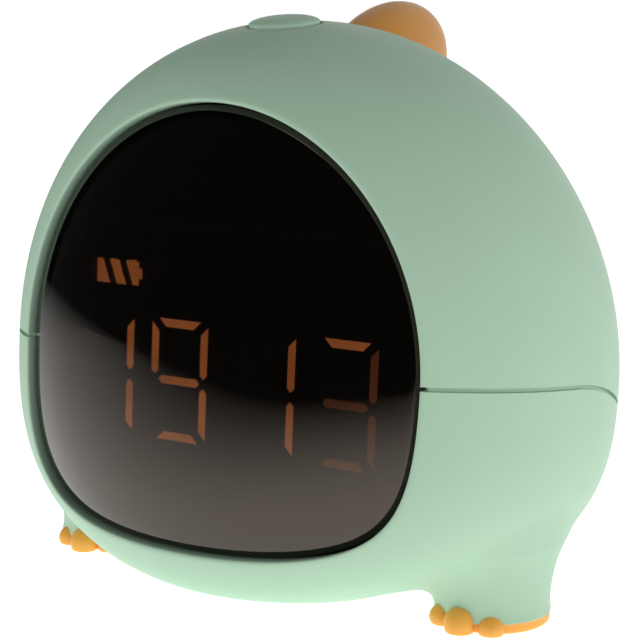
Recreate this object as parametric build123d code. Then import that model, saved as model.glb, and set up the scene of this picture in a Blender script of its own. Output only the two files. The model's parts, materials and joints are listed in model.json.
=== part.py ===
from build123d import *
import os
from functools import lru_cache
from math import atan2, cos, degrees, pi, sin, sqrt

os.makedirs("parts", exist_ok=True)

# A dinosaur-shaped alarm clock with a night light. Lengths are millimetres, angles degrees.
# The casing is drawn in its own frame: origin on its widest plane, X across, the face towards -Y.
# `leaned` then tips it back over its feet, and `stand` puts the whole clock on the table.

# ---- casing ----
half_width = 55.0
front_depth = 38.3
back_depth = 39.6
dome_height = 56.2
bowl_depth = 37.8
side_up, side_down = 2.0, 2.6  # superellipse exponents of the side outline, above and below the widest plane
front_up, front_down = 2.6, 4.5
back_up, back_down = 1.7, 3.4
lean = 4.0  # the casing leans back by this angle
body_height = 37.5  # widest plane above the table
belly_clearance = 1.5  # flat underside above the table
wall = 2.4
floor_level = -33.0  # flat floor inside the bowl, casing frame
seat_gap = 0.15  # between pieces that seat in each other
far = 90.0  # reach of cutting blocks past the casing

# ---- parting line: flat round the face, dipping under the tail ----
seam_level = 2.3
seam_dip = 16.0
seam_dip_start = -8.0
seam_dip_end = 44.0
seam_groove = 0.7
lip_height = 1.6
lip_thickness = 1.1
lip_shelf = 0.5  # how far the lip's root steps in from the wall

# ---- window and lens ----
window_half_width = 38.5
window_top = 40.8
window_bottom = 28.5
window_level = 1.7  # height of the window's widest line
window_squareness = 0.84  # how far the lower half's curve handles reach towards its corners
ellipse_handle = 0.5523  # the same for a quarter of an ellipse
lens_recess = 2.0
lens_thickness = 2.0
lens_gap = 0.35
flange_width = 1.3
flange_thickness = 1.0
collar_width = 2.8
collar_depth = 5.6

# ---- display ----
display_face = -23.7  # front of the light mask, casing frame
mask_width, mask_height, mask_thickness = 60.0, 35.0, 4.0
mask_level = 1.8
digit_half_width = 4.84  # segment centre lines
digit_half_height = 9.22
digit_pitch = 14.79
digit_gap = 16.69
digit_shift = 0.47
digit_level = -2.54
segment_width = 1.35
segment_gap = 0.75
icon_left, icon_level = -26.0, 14.2
icon_width, icon_height = 8.9, 4.2
icon_bars = 3
icon_slant = 1.5
icon_gap = 1.45
nub_width, nub_height = 0.7, 1.7
led_length, led_width, led_height = 1.6, 0.8, 0.6
board_thickness = 1.6
display_board_margin = 1.8  # display board outside the mask
frame_rim = 1.6
frame_plate = 1.8
frame_foot_x = 14.0
frame_foot_length = 8.0
frame_foot_thickness = 2.0
battery_width, battery_height, battery_thickness = 40.0, 34.0, 6.0
battery_pad_thickness = 0.5

# ---- top button ----
top_button_y = -9.9
top_button_radius = 5.8
top_button_crown = 1.0
top_button_rim = 0.3
top_travel = 0.8
button_gap = 0.3
top_board_radius = 12.0
top_stem_radius = 1.6
top_flange_width, top_flange_thickness = 1.4, 1.0

# ---- rear buttons and socket ----
rear_button_x = (-22.0, -12.0, 12.0, 22.0)
rear_button_names = ("mode_button", "alarm_button", "down_button", "up_button")
rear_row_level = -20.6
rear_button_radius = 3.3
rear_button_height = 0.8
rear_travel = 0.5
rear_flange_width, rear_flange_thickness = 1.0, 1.0
rear_stem_radius = 1.2
rear_stem_length = 2.6
switch_width, switch_depth, switch_height = 6.0, 4.0, 3.4
plunger_length = 2.4
plunger_show = 1.0
plunger_gap = 0.1
stop_gap = 0.3
socket_width, socket_height, socket_length = 8.94, 3.16, 7.35
socket_wall = 0.35
socket_clearance = 0.6
socket_back = 1.35  # mouth behind the casing's surface
reset_hole_radius = 0.6
reset_hole_x = 6.8

# ---- boards, speaker ----
main_board_half_width = 27.0
main_board_front = -6.0
board_post_radius = 2.4
board_posts = ((-22.0, -2.0), (22.0, -2.0), (-20.0, 18.0), (20.0, 18.0))
speaker_radius, speaker_height = 14.0, 6.6
speaker_y = 8.0
speaker_rib = 1.3
speaker_rib_height = 4.0
gasket_thickness = 0.8
grille_hole_radius = 0.9
grille_pitch = 4.2
grille_rings = 2

# ---- crest of night-light fins: centre y, z, half length, half height, half thickness, rise ----
fins = (
    (21.1, 47.9, 20.2, 12.1, 6.5, 20.0),
    (29.5, 28.5, 15.0, 8.6, 5.2, 12.0),
    (34.5, 13.2, 10.0, 5.8, 4.0, 4.0),
)
crest_strip_half_width = 4.0
crest_strip_thickness = 1.4
crest_strip_front, crest_strip_low, crest_strip_high = 9.0, 12.0, 52.0
light_board_y, light_board_z = 18.0, 27.0
light_board_tilt = 58.0
light_board_width, light_board_length, light_board_thickness = 24.0, 34.0, 1.2
light_post_x = 9.0
night_led_size = 3.5
night_led_height = 1.6

# ---- tail ----
tail_length = 18.0  # past the casing's back
tail_root, tail_root_radius = 10.0, 17.0  # root inside the casing's back
tail_neck, tail_neck_radius = 12.0, 8.0  # curve handles of the flare and of the blunt tip
tail_tip_radius = 6.0
tail_rise = 8.0
tail_level = -1.0

# ---- legs and feet, upright frame: z = 0 at the widest plane ----
leg_x, leg_y = 39.2, -4.5
leg_radius = 9.0
leg_top_x, leg_top_y = 38.5, -4.0
leg_top_radius = 13.0
leg_top_level = -12.0
leg_wall = 2.2
leg_boss_height, leg_boss_radius = 6.5, 2.6
sole_height = 2.35
sole_pad_show = 0.3
pad_thickness = 1.0
pad_radius = 5.2
sole_rounding = 0.5
toes = ((-4.9, -6.95, 2.4, 3.4), (-0.8, -9.3, 2.55, 4.2), (3.85, -7.6, 2.2, 3.4))
belly_pad_x, belly_pad_y, belly_pad_radius = 14.0, 15.0, 4.5
belly_pad_recess = 0.6

# ---- screws ----
case_screw_spots = ((-25.0, -12.0), (25.0, -12.0), (-32.0, 12.0), (32.0, 12.0))
case_screw_radius, case_head_radius, case_head_height, case_screw_length = 1.4, 2.6, 1.8, 15.0
case_head_level = -15.0
case_joint_level = -6.0
tube_radius = 3.6
post_radius = 3.2
small_screw_radius, small_head_radius, small_head_height, small_screw_length = 0.95, 1.8, 1.2, 5.0
small_post_radius = 2.1
foot_head_height = 0.7
screw_clearance = 0.25
thread_gap = 0.05

nodes = {}


# ---------------------------------------------------------------- casing surface
def reach(share, exponent):
    """Superellipse: the part of a half size that is left at a share of the height."""
    return max(1 - abs(share) ** exponent, 0.0) ** (1 / exponent)


def half_sizes(z, inset=0.0):
    """Half width, front depth and back depth of the casing at height z, inset from its surface."""
    up = z >= 0
    share = z / ((dome_height if up else bowl_depth) - inset)
    width = (half_width - inset) * reach(share, side_up if up else side_down)
    front = (front_depth - inset) * reach(share, front_up if up else front_down)
    back = (back_depth - inset) * reach(share, back_up if up else back_down)
    return width, front, back


def surface_y(x, z, inset=0.0, rear=False):
    """Y of the casing's inset surface at x, z, on its front or its rear."""
    width, front, back = half_sizes(z, inset)
    share = sqrt(max(1 - (x / width) ** 2, 0.0))
    return back * share if rear else -front * share


def plan_section(z, inset):
    """One level section: a front and a back half ellipse that share the casing's width."""
    width, front, back = half_sizes(z, inset)
    turns = [i * pi / 8 - pi / 2 for i in range(9)]
    right = [(width * cos(a), sin(a) * (back if a > 0 else front), z) for a in turns]
    left = [(-x, y, z) for x, y, z in reversed(right)]
    return Face(Wire([Spline(*right, tangents=[(1, 0, 0), (-1, 0, 0)]),
                      Spline(*left, tangents=[(-1, 0, 0), (1, 0, 0)])]))


@lru_cache
def hull(inset=0.0):
    """The casing as a solid, drawn inwards by inset, lofted through level sections."""
    steps = [sin(i * pi / 2 / 6.35) for i in range(1, 7)]
    below = [-(bowl_depth - inset) * s for s in reversed(steps)]
    above = [(dome_height - inset) * s for s in steps]
    return loft([plan_section(z, inset) for z in below + [0.0] + above])


def skin(block, outer, inner):
    """The part of a block that lies between two insets of the casing."""
    return (block & hull(outer)) - (block & hull(inner))


@lru_cache
def above_seam(lift=0.0):
    """Everything above the parting line, which is raised by lift."""
    low = seam_level - seam_dip
    third = (seam_dip_end - seam_dip_start) / 3
    dip = Bezier(
        (seam_dip_start, seam_level),
        (seam_dip_start + third, seam_level),
        (seam_dip_end - third, low),
        (seam_dip_end, low),
    )
    rest = Polyline((seam_dip_end, low), (far, low), (far, far), (-far, far), (-far, seam_level),
                    (seam_dip_start, seam_level))
    profile = Plane.YZ * make_face([dip, rest])
    return Pos(0, 0, lift) * extrude(profile, amount=far, both=True)


@lru_cache
def window(grow=0.0):
    """The window's outline run back through the face: a half ellipse over a squarer half."""
    half, top, bottom = window_half_width + grow, window_top + grow, window_bottom + grow
    curves = []
    for x, z, reach_out in ((half, top, ellipse_handle), (half, -bottom, window_squareness)):
        for side in (x, -x):
            points = [(side, 0), (side, reach_out * z), (reach_out * side, z), (0, z)]
            curves.append(Bezier(*points))
    outline = Plane.XZ * make_face(curves)
    return Pos(0, -8, window_level) * extrude(outline, amount=far)


def leaned(shape):
    """From the casing's own frame to the upright frame: a shape or a list of them."""
    tip = Rot(-lean, 0, 0)
    return [tip * piece for piece in shape] if isinstance(shape, list) else tip * shape


def cylinder(x, y, low, high, radius):
    """An upright cylinder between two levels."""
    return Pos(x, y, (low + high) / 2) * Cylinder(radius, high - low)


def screw(shank_radius, head_radius, head_height, length):
    """A pan-head screw: the head's seat at z = 0, the shank above it."""
    head = Pos(0, 0, -head_height / 2) * Cylinder(head_radius, head_height)
    head = chamfer(head.edges().sort_by(Axis.Z)[0], head_height * 0.35)
    slot = Pos(0, 0, -head_height) * Box(head_radius * 1.2, head_radius * 0.25, head_height * 0.7)
    cross = slot + Rot(0, 0, 90) * slot
    return head - cross + Pos(0, 0, length / 2) * Cylinder(shank_radius, length)


def small_screw():
    return screw(small_screw_radius, small_head_radius, small_head_height, small_screw_length)


def group(shapes):
    """Separate solids that share one node."""
    return Compound([solid for shape in shapes for solid in shape.solids()])


# ---------------------------------------------------------------- tail, crest and legs
def tail(inset=0.0):
    """A blunt cone that flares into the casing's back. It points rearwards and a little up."""
    root, tip = back_depth - tail_root, back_depth + tail_length - inset
    start, end = (tail_root_radius - inset, root), (0, tip)
    profile = Bezier(start, (tail_neck_radius - inset, root + tail_neck), (tail_tip_radius - inset / 2, tip), end)
    cone = revolve(make_face([profile, Line(end, (0, root)), Line((0, root), start)]), Axis.Y)
    return Pos(0, 0, tail_level) * Rot(tail_rise, 0, 0) * cone


def fin(spec, gap=0.0):
    """One crest fin: an ellipsoid half sunk in the back, its long axis rising rearwards."""
    y, z, length, height, thickness, rise = spec
    ball = scale(Sphere(1), by=(thickness + gap, height + gap, length + gap))
    return Pos(0, y, z) * Rot(rise + 90, 0, 0) * ball


def crest():
    """The translucent crest: the fins outside, a strip inside that ties them together."""
    middle = (crest_strip_low + crest_strip_high) / 2
    height = crest_strip_high - crest_strip_low
    block = Pos(0, crest_strip_front + back_depth / 2, middle) * Box(2 * crest_strip_half_width, back_depth, height)
    strip = block & hull(wall + seat_gap)
    return (strip + [fin(spec) for spec in fins]) - crest_core()


def crest_core():
    """A block under the crest: the casing's back profile, inset by wall and strip, carried along X."""
    inset = wall + seat_gap + crest_strip_thickness
    levels = [(dome_height - inset) * sin(i * pi / 16) for i in range(8)]
    back = Spline(*[(half_sizes(z, inset)[2], z) for z in levels], (0, dome_height - inset))
    front = Polyline((0, dome_height - inset), (0, 0), (back_depth - inset, 0))
    return extrude(Plane.YZ * make_face([back, front]), amount=half_width / 2, both=True)


def leg(inset=0.0, foot_end=0.0):
    """A round leg that swells inwards and up into the bowl, right-hand side."""
    bottom = -body_height + sole_height + foot_end
    levels = 5
    rounds = []
    for i in range(levels):
        share = i / (levels - 1)
        x = leg_x + (leg_top_x - leg_x) * share
        y = leg_y + (leg_top_y - leg_y) * share
        radius = leg_radius + (leg_top_radius - leg_radius) * share**1.5 - inset
        z = bottom + (leg_top_level - bottom) * share
        rounds.append(Pos(x, y, z) * Circle(radius))
    return loft(rounds)


def legs(inset=0.0, foot_end=0.0):
    """Both legs, as a list."""
    right = leg(inset, foot_end)
    return [right, mirror(right, Plane.YZ)]


# ---------------------------------------------------------------- top button frame
def dome_slope():
    """Height of the dome on its centre line at the top button, and the tilt of its normal."""
    share = abs(top_button_y) / front_depth
    z = dome_height * (1 - share**front_up) ** (1 / front_up)
    pull = share ** (front_up - 1) / front_depth
    rise = (z / dome_height) ** (front_up - 1) / dome_height
    return z, degrees(atan2(pull, rise))


dome_z, dome_tilt = dome_slope()
top_place = Pos(0, top_button_y, dome_z) * Rot(dome_tilt, 0, 0)
top_stop = -(wall + 0.7)  # flat stop under the dome, button frame
top_stem_end = -7.0
top_switch_face = top_stem_end - plunger_show
top_board_level = top_switch_face - switch_height
top_screw_x = top_button_radius + top_flange_width + small_post_radius + 0.5


def top_button():
    """A domed cap with a skirt, a stop flange under the dome and a stem to the switch."""
    bottom = top_stop - stop_gap
    crown = ThreePointArc((0, top_button_crown), (top_button_radius * 0.55, top_button_crown * 0.78 + 0.05),
                          (top_button_radius, top_button_rim))
    side = Polyline(
        (top_button_radius, top_button_rim),
        (top_button_radius, bottom),
        (top_button_radius + top_flange_width, bottom),
        (top_button_radius + top_flange_width, bottom - top_flange_thickness),
        (top_stem_radius, bottom - top_flange_thickness),
        (top_stem_radius, top_stem_end),
        (0, top_stem_end),
        (0, top_button_crown),
    )
    return top_place * revolve(Plane.XZ * make_face([crown, side]), Axis.Z)


def top_switch():
    """A tact switch: a square housing with a bore for its plunger."""
    middle = (top_switch_face + top_board_level) / 2
    body = Pos(0, 0, middle) * Box(switch_width, switch_width, switch_height)
    bore = plunger_bore(top_switch_face, -1)
    return top_place * (body - bore)


def plunger_bore(face, way):
    """The blind bore that a plunger slides in, along Z from a switch's face."""
    depth = plunger_length - plunger_show + max(top_travel, rear_travel) + 0.2
    return Pos(0, 0, face + way * depth / 2) * Cylinder(top_stem_radius + plunger_gap / 2, depth)


def top_plunger():
    return top_place * cylinder(0, 0, top_stem_end - plunger_length, top_stem_end, top_stem_radius)


def top_board():
    """A round board under the dome, hung from two posts."""
    board = cylinder(0, 0, top_board_level - board_thickness, top_board_level, top_board_radius)
    for x in (-top_screw_x, top_screw_x):
        board -= cylinder(x, 0, top_board_level - 3, top_board_level + 3, small_screw_radius + screw_clearance)
    return top_place * board


def top_board_screws():
    seat = top_board_level - board_thickness
    return group([top_place * Pos(x, 0, seat) * small_screw() for x in (-top_screw_x, top_screw_x)])


# ---------------------------------------------------------------- rear buttons
def rear_inner(x):
    """Y of the casing's inner surface behind a rear button."""
    return surface_y(x, rear_row_level, wall, rear=True)


def rearward(x, y):
    """A frame at a rear button whose Z points out of the casing's back."""
    return Pos(x, y, rear_row_level) * Rot(-90, 0, 0)


def rear_stem_end(x):
    return surface_y(abs(x) + rear_button_radius + 1, rear_row_level, wall + 1.2, rear=True) - rear_stem_length


def rear_button(x):
    """A round cap cut to the casing's curve, with a flange inside and a stem to the switch."""
    start = rear_stem_end(x)
    cap = rearward(x, start + 4) * cylinder(0, 0, -4 + rear_stem_length, 20, rear_button_radius)
    cap = skin(cap, -rear_button_height, wall + 0.6)
    flange = rearward(x, start) * cylinder(0, 0, 0.5, 20, rear_button_radius + rear_flange_width)
    flange = skin(flange, wall + stop_gap, wall + stop_gap + rear_flange_thickness)
    stem = rearward(x, start) * cylinder(0, 0, 0, rear_inner(x) - start - 0.5, rear_stem_radius)
    return cap + flange + stem


def rear_plunger(x):
    return rearward(x, rear_stem_end(x)) * cylinder(0, 0, -plunger_length, 0, rear_stem_radius)


def rear_switch(x):
    """A side-pushed tact switch on the main board's rear edge."""
    face = rear_stem_end(x) - plunger_show
    body = Pos(x, face - switch_depth / 2, main_board_top + switch_height / 2) * Box(
        switch_width, switch_depth, switch_height
    )
    depth = plunger_length - plunger_show + rear_travel + 0.2
    bore = rearward(x, face) * cylinder(0, 0, -depth, 1, rear_stem_radius + plunger_gap / 2)
    return body - bore


main_board_top = rear_row_level - socket_height / 2


# ---------------------------------------------------------------- casing shells
def screw_tubes():
    """Deep screw tubes in the lower shell, and the bores through them, casing frame."""
    tubes, bores = [], []
    for x, y in case_screw_spots:
        tubes.append(cylinder(x, y, -bowl_depth, case_joint_level, tube_radius) & hull(wall / 2))
        bores.append(cylinder(x, y, -far, case_head_level, case_head_radius + screw_clearance))
        bores.append(cylinder(x, y, case_head_level - 1, 0, case_screw_radius + screw_clearance))
    return tubes, bores


@lru_cache
def collar():
    """The thick rim behind the window's edge, and the groove in it that grips the lens's flange."""
    ring = skin(window(collar_width), wall / 2, collar_depth) - window()
    back = lens_recess + lens_thickness
    slot = skin(window(flange_width + seat_gap), back - flange_thickness - seat_gap / 2, back + seat_gap / 2)
    return ring, slot


def upper_shell():
    """Dome, tail and window arch, with posts for the screws, the boards and the top button's stop."""
    dome = skin(above_seam(), 0.0, wall) + (tail() - hull(wall / 2)) - tail(wall)
    ring, slot = collar()
    posts, pilots = [], []
    for x, y in case_screw_spots:
        posts.append(cylinder(x, y, case_joint_level, dome_height, post_radius) & hull(wall / 2))
        tip = case_head_level + case_screw_length + 1
        pilots.append(cylinder(x, y, case_joint_level - 1, tip, case_screw_radius + thread_gap))
    shape = dome + [ring & above_seam(), top_button_seat()] + posts + light_board_posts()
    hole = top_place * cylinder(0, 0, top_stop - 1, 6, top_button_radius + button_gap)
    cuts = [window(), slot, hole, rebate()] + pilots + [fin(spec, seat_gap) for spec in fins]
    return shape - cuts


def rebate():
    """The step inside the upper shell's edge that the lower shell's lip fills."""
    band = above_seam(-1) - above_seam(lip_height + seat_gap)
    return skin(band, wall - lip_thickness - seat_gap, wall + lip_shelf + seat_gap)


def lip():
    """The lower shell's raised lip, clear of the window."""
    band = above_seam(-lip_height) - above_seam(lip_height)
    return skin(band, wall - lip_thickness, wall + lip_shelf) - window(lens_gap)


def top_button_seat():
    """A thickened ring round the top button's hole and the two board posts."""
    seat = cylinder(0, 0, top_stop, 6, top_button_radius + 3)
    pilots = []
    for x in (-top_screw_x, top_screw_x):
        seat += cylinder(x, 0, top_board_level, 6, small_post_radius)
        tip = top_board_level + small_screw_length
        pilots.append(top_place * cylinder(x, 0, top_board_level - 1, tip, small_screw_radius + thread_gap))
    return (top_place * seat & hull(wall / 2)) - pilots


light_place = Pos(0, light_board_y, light_board_z) * Rot(-light_board_tilt, 0, 0)


def light_board_posts():
    """Two posts from the back down to the night-light board."""
    posts = []
    for x in (-light_post_x, light_post_x):
        post = light_place * cylinder(x, 0, 0, far / 2, small_post_radius) & hull(wall / 2)
        pilot = light_place * cylinder(x, 0, -1, small_screw_length, small_screw_radius + thread_gap)
        posts.append(post - pilot)
    return posts


def belly_block():
    """Everything under the flat belly, upright frame."""
    level = -body_height + belly_clearance
    return Pos(0, 0, level - far / 2) * Box(2 * far, 2 * far, far)


def grille():
    """Sound holes in the floor: rings of round holes round a middle one."""
    holes = [cylinder(0, speaker_y, -far, floor_level + 1, grille_hole_radius)]
    for ring in range(1, grille_rings + 1):
        for i in range(6 * ring):
            turn = 2 * pi * i / (6 * ring)
            x, y = ring * grille_pitch * cos(turn), speaker_y + ring * grille_pitch * sin(turn)
            holes.append(cylinder(x, y, -far, floor_level + 1, grille_hole_radius))
    return holes


def rear_holes():
    """Holes for the rear buttons, the charging socket and the reset pin."""
    start = back_depth * 0.6
    holes = [rearward(x, start) * cylinder(0, 0, 0, 30, rear_button_radius + button_gap) for x in rear_button_x]
    wide, high = socket_width + socket_clearance, socket_height + socket_clearance
    holes.append(rearward(0, start) * extrude(RectangleRounded(wide, high, high / 2 - 0.01), amount=30))
    holes.append(rearward(reset_hole_x, start) * cylinder(0, 0, 0, 30, reset_hole_radius))
    return holes


def speaker_ring():
    """The rib on the floor that the speaker drops into."""
    inner = speaker_radius + seat_gap
    rib = cylinder(0, speaker_y, floor_level - 1, floor_level + speaker_rib_height, inner + speaker_rib)
    return rib - cylinder(0, speaker_y, floor_level - 2, 0, inner)


def floor_posts():
    """Posts under the main board and the display frame's feet, with their pilot holes."""
    tops = [(x, y, main_board_top - board_thickness) for x, y in board_posts]
    tops += [(x, frame_foot_y, frame_foot_level) for x in (-frame_foot_x, frame_foot_x)]
    posts = [cylinder(x, y, -bowl_depth, z, board_post_radius) & hull(wall / 2) for x, y, z in tops]
    pilots = [cylinder(x, y, z - small_screw_length, z + 1, small_screw_radius + thread_gap) for x, y, z in tops]
    return posts, pilots


def lower_shell():
    """Bowl and legs, with the lip, screw tubes, board posts, speaker rib and sound holes."""
    room = (hull(wall) & Pos(0, 0, floor_level + far) * Box(2 * far, 2 * far, 2 * far)) - above_seam()
    bowl = leaned(hull() - above_seam()) + legs() - belly_block() - [leaned(room)] - legs(leg_wall, leg_wall)
    tubes, bores = screw_tubes()
    posts, pilots = floor_posts()
    ring, slot = collar()
    boss_top = -body_height + sole_height + leg_boss_height
    bosses = [cylinder(x, leg_y, -body_height + sole_height, boss_top, leg_boss_radius) for x in (-leg_x, leg_x)]
    shape = bowl + bosses + leaned([lip(), ring - above_seam(), speaker_ring()] + tubes + posts)
    shape -= leaned([window(), slot, seam_ring()] + bores + pilots + grille() + rear_holes())
    low = -body_height + belly_clearance
    seats = [cylinder(x, belly_pad_y, low - 1, low + belly_pad_recess, belly_pad_radius + seat_gap)
             for x in (-belly_pad_x, belly_pad_x)]
    pilot_top = foot_seat + small_screw_length + 1
    seats += [cylinder(x, leg_y, -far, pilot_top, small_screw_radius + thread_gap) for x in (-leg_x, leg_x)]
    return shape - seats


def seam_ring():
    """The fine groove that shows along the parting line."""
    return skin(above_seam(-seam_groove) - above_seam(), -1, seam_groove)


# ---------------------------------------------------------------- lens and display
def lens():
    """The dark lens: a curved window that fills the opening, and a flange held in the collar's groove."""
    back = lens_recess + lens_thickness
    face = window(-lens_gap) & hull(lens_recess)
    return (face + (window(flange_width) & hull(back - flange_thickness))) - (window(2 * flange_width) & hull(back))


def digit_centres():
    inner = digit_gap / 2
    return [digit_shift + side for side in (-inner - digit_pitch, -inner, inner, inner + digit_pitch)]


def segment_outlines():
    """The seven segments of one digit, round its centre: mitred bars with a pointed middle bar."""
    half, tall, w, gap = digit_half_width, digit_half_height, segment_width, segment_gap
    top = tall + w / 2
    reach_x = half - gap
    bar = [(-reach_x, top), (reach_x, top), (reach_x - w, top - w), (w - reach_x, top - w)]
    middle = [(-reach_x, 0), (w / 2 - reach_x, w / 2), (reach_x - w / 2, w / 2), (reach_x, 0),
              (reach_x - w / 2, -w / 2), (w / 2 - reach_x, -w / 2)]
    post = [(half + w / 2, top - gap), (half - w / 2, top - gap - w), (half - w / 2, gap + w / 2), (half, gap),
            (half + w / 2, gap + w / 2)]
    flip = [(x, -z) for x, z in bar]
    lower = [(x, -z) for x, z in post]
    left = [[(-x, z) for x, z in shape] for shape in (post, lower)]
    return [bar, flip, middle, post, lower] + left


def icon_outlines():
    """A charge symbol: slanting bars cut from an oblong, the last with a nub."""
    low, high = icon_level - icon_height / 2, icon_level + icon_height / 2
    step = (icon_width + icon_gap) / icon_bars
    shapes = []
    for i in range(icon_bars):
        left = icon_left + i * step
        right = left + step - icon_gap
        left_top = left if i == 0 else left - icon_slant / 2
        left_low = left if i == 0 else left + icon_slant / 2
        right_top = right if i == icon_bars - 1 else right - icon_slant / 2
        right_low = right if i == icon_bars - 1 else right + icon_slant / 2
        shapes.append([(left_top, high), (right_top, high), (right_low, low), (left_low, low)])
    edge = icon_left + icon_width
    nub = [(edge, icon_level + nub_height / 2), (edge + nub_width, icon_level + nub_height / 2),
           (edge + nub_width, icon_level - nub_height / 2), (edge, icon_level - nub_height / 2)]
    return shapes, nub


def prism(points, x=0.0, z=0.0, front=display_face, depth=mask_thickness):
    """A flat outline run back from the mask's face."""
    outline = Plane.XZ * make_face(Polyline(*[(x + px, z + pz) for px, pz in points], close=True))
    return Pos(0, front + depth, 0) * extrude(outline, amount=depth)


@lru_cache
def display_segments():
    """Every light window of the display, each a separate solid."""
    windows = []
    for centre in digit_centres():
        windows += [prism(points, centre, digit_level) for points in segment_outlines()]
    bars, nub = icon_outlines()
    windows += [prism(points) for points in bars[:-1]]
    windows.append(prism(bars[-1]) + prism(nub))
    return group(windows)


def display_mask():
    """The black block behind the lens, with a tapered-edge window for each segment."""
    middle = display_face + mask_thickness / 2
    block = Pos(0, middle, mask_level) * Box(mask_width, mask_thickness, mask_height)
    block = fillet(block.edges().filter_by(Axis.Y), 4.0)
    return block - display_segments().solids()


display_board_front = display_face + mask_thickness


def display_leds():
    """One small lamp behind each light window."""
    lamps = []
    for solid in display_segments().solids():
        spot = solid.center()
        lamp = Box(led_length, led_height, led_width)
        upright = solid.bounding_box().size.Z > solid.bounding_box().size.X
        lamp = Rot(0, 90, 0) * lamp if upright else lamp
        lamps.append(Pos(spot.X, display_board_front + led_height / 2, spot.Z) * lamp)
    return group(lamps)


def display_board():
    """The display's circuit board, sunk for its lamps so that they sit flush behind the mask."""
    width, height = mask_width + 2 * display_board_margin, mask_height + 2 * display_board_margin
    board = Pos(0, display_board_front + board_thickness / 2, mask_level) * Box(width, board_thickness, height)
    board = fillet(board.edges().filter_by(Axis.Y), 3.0)
    return board - display_leds().solids()


frame_front = display_board_front + board_thickness
frame_foot_level = mask_level - mask_height / 2 - display_board_margin - 5.0
frame_foot_y = frame_front + frame_foot_length - 2.4


def display_frame():
    """The bracket behind the display: a tray round the board, and two feet on the lower shell's posts."""
    width = mask_width + 2 * (display_board_margin + frame_rim)
    height = mask_height + 2 * (display_board_margin + frame_rim)
    depth = board_thickness + frame_plate
    tray = Pos(0, display_board_front + depth / 2, mask_level) * Box(width, depth, height)
    tray = fillet(tray.edges().filter_by(Axis.Y), 4.0)
    seat_w, seat_h = width - 2 * frame_rim + 2 * seat_gap, height - 2 * frame_rim + 2 * seat_gap
    seat = Pos(0, display_board_front + board_thickness / 2, mask_level) * Box(seat_w, board_thickness, seat_h)
    seat = fillet(seat.edges().filter_by(Axis.Y), 3.0)
    tray -= seat
    bottom = mask_level - height / 2
    for x in (-frame_foot_x, frame_foot_x):
        leg_height = bottom - frame_foot_level + 3
        plate = Pos(x, frame_front + frame_plate / 2, frame_foot_level + leg_height / 2)
        tray += plate * Box(frame_foot_length, frame_plate, leg_height)
        foot = Pos(x, frame_front + frame_foot_length / 2, frame_foot_level + frame_foot_thickness / 2)
        tray += foot * Box(frame_foot_length, frame_foot_length, frame_foot_thickness)
        tray -= cylinder(x, frame_foot_y, frame_foot_level - 1, frame_foot_level + 4,
                         small_screw_radius + screw_clearance)
    notch = Pos(0, frame_front + frame_plate, bottom) * Box(16, 2 * frame_plate, 12)
    return tray - notch


def frame_screws():
    seat = frame_foot_level + frame_foot_thickness
    return group([Pos(x, frame_foot_y, seat) * Rot(180, 0, 0) * small_screw() for x in (-frame_foot_x, frame_foot_x)])


def battery():
    """A pouch cell on the display frame's back: soft-edged body and a folded top seam."""
    y = frame_front + frame_plate + battery_pad_thickness + battery_thickness / 2
    z = mask_level + 1.0
    cell = Pos(0, y, z) * Box(battery_width, battery_thickness, battery_height)
    cell = fillet(cell.edges().filter_by(Axis.Z), battery_thickness * 0.35)
    seam = Pos(0, y, z + battery_height / 2 + 1.2) * Box(battery_width - 4, 1.6, 2.4)
    return cell + seam


def battery_pad():
    y = frame_front + frame_plate + battery_pad_thickness / 2
    return Pos(0, y, mask_level + 1.0) * Box(battery_width - 8, battery_pad_thickness, battery_height - 8)


# ---------------------------------------------------------------- main board, speaker, socket
def main_board():
    """The main circuit board, its rear edge cut to the casing's curve, clear of the pressed rear buttons."""
    level = main_board_top - board_thickness / 2
    block = Pos(0, main_board_front + far / 2, level) * Box(2 * main_board_half_width, far, board_thickness)
    board = block & hull(wall + rear_flange_thickness + rear_travel + 2 * stop_gap)
    for x, y in board_posts:
        board -= cylinder(x, y, level - 3, level + 3, small_screw_radius + screw_clearance)
    return board


def main_board_screws():
    return group([Pos(x, y, main_board_top) * Rot(180, 0, 0) * small_screw() for x, y in board_posts])


def board_parts():
    """Controller, sound chip, coils and connectors on the main board."""
    spots = ((0, 6, 9, 9, 1.4), (-12, 8, 6, 5, 1.6), (13, 9, 5, 5, 2.6), (-9, 19, 4, 4, 1.8), (8, 18, 3.2, 1.8, 1.2),
             (-18, 6, 7.5, 5.5, 4.2), (18, 5, 7.5, 5.5, 4.2), (0, -2.5, 13, 4, 2.2))
    return group([Pos(x, y, main_board_top + h / 2) * Box(w, d, h) for x, y, w, d, h in spots])


def speaker():
    """A round speaker face down: frame, cone and magnet."""
    base = floor_level + gasket_thickness
    profile = Polyline(
        (0, base + 1.6), (speaker_radius * 0.3, base + 1.6), (speaker_radius * 0.85, base + 0.5),
        (speaker_radius * 0.85, base), (speaker_radius, base), (speaker_radius, base + 2.0),
        (speaker_radius * 0.6, base + speaker_height * 0.55), (speaker_radius * 0.6, base + speaker_height),
        (0, base + speaker_height), close=True,
    )
    return Pos(0, speaker_y, 0) * revolve(Plane.XZ * make_face(profile), Axis.Z)


def speaker_gasket():
    ring = cylinder(0, speaker_y, floor_level, floor_level + gasket_thickness, speaker_radius)
    return ring - cylinder(0, speaker_y, floor_level - 1, floor_level + 2, speaker_radius * 0.85)


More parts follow.
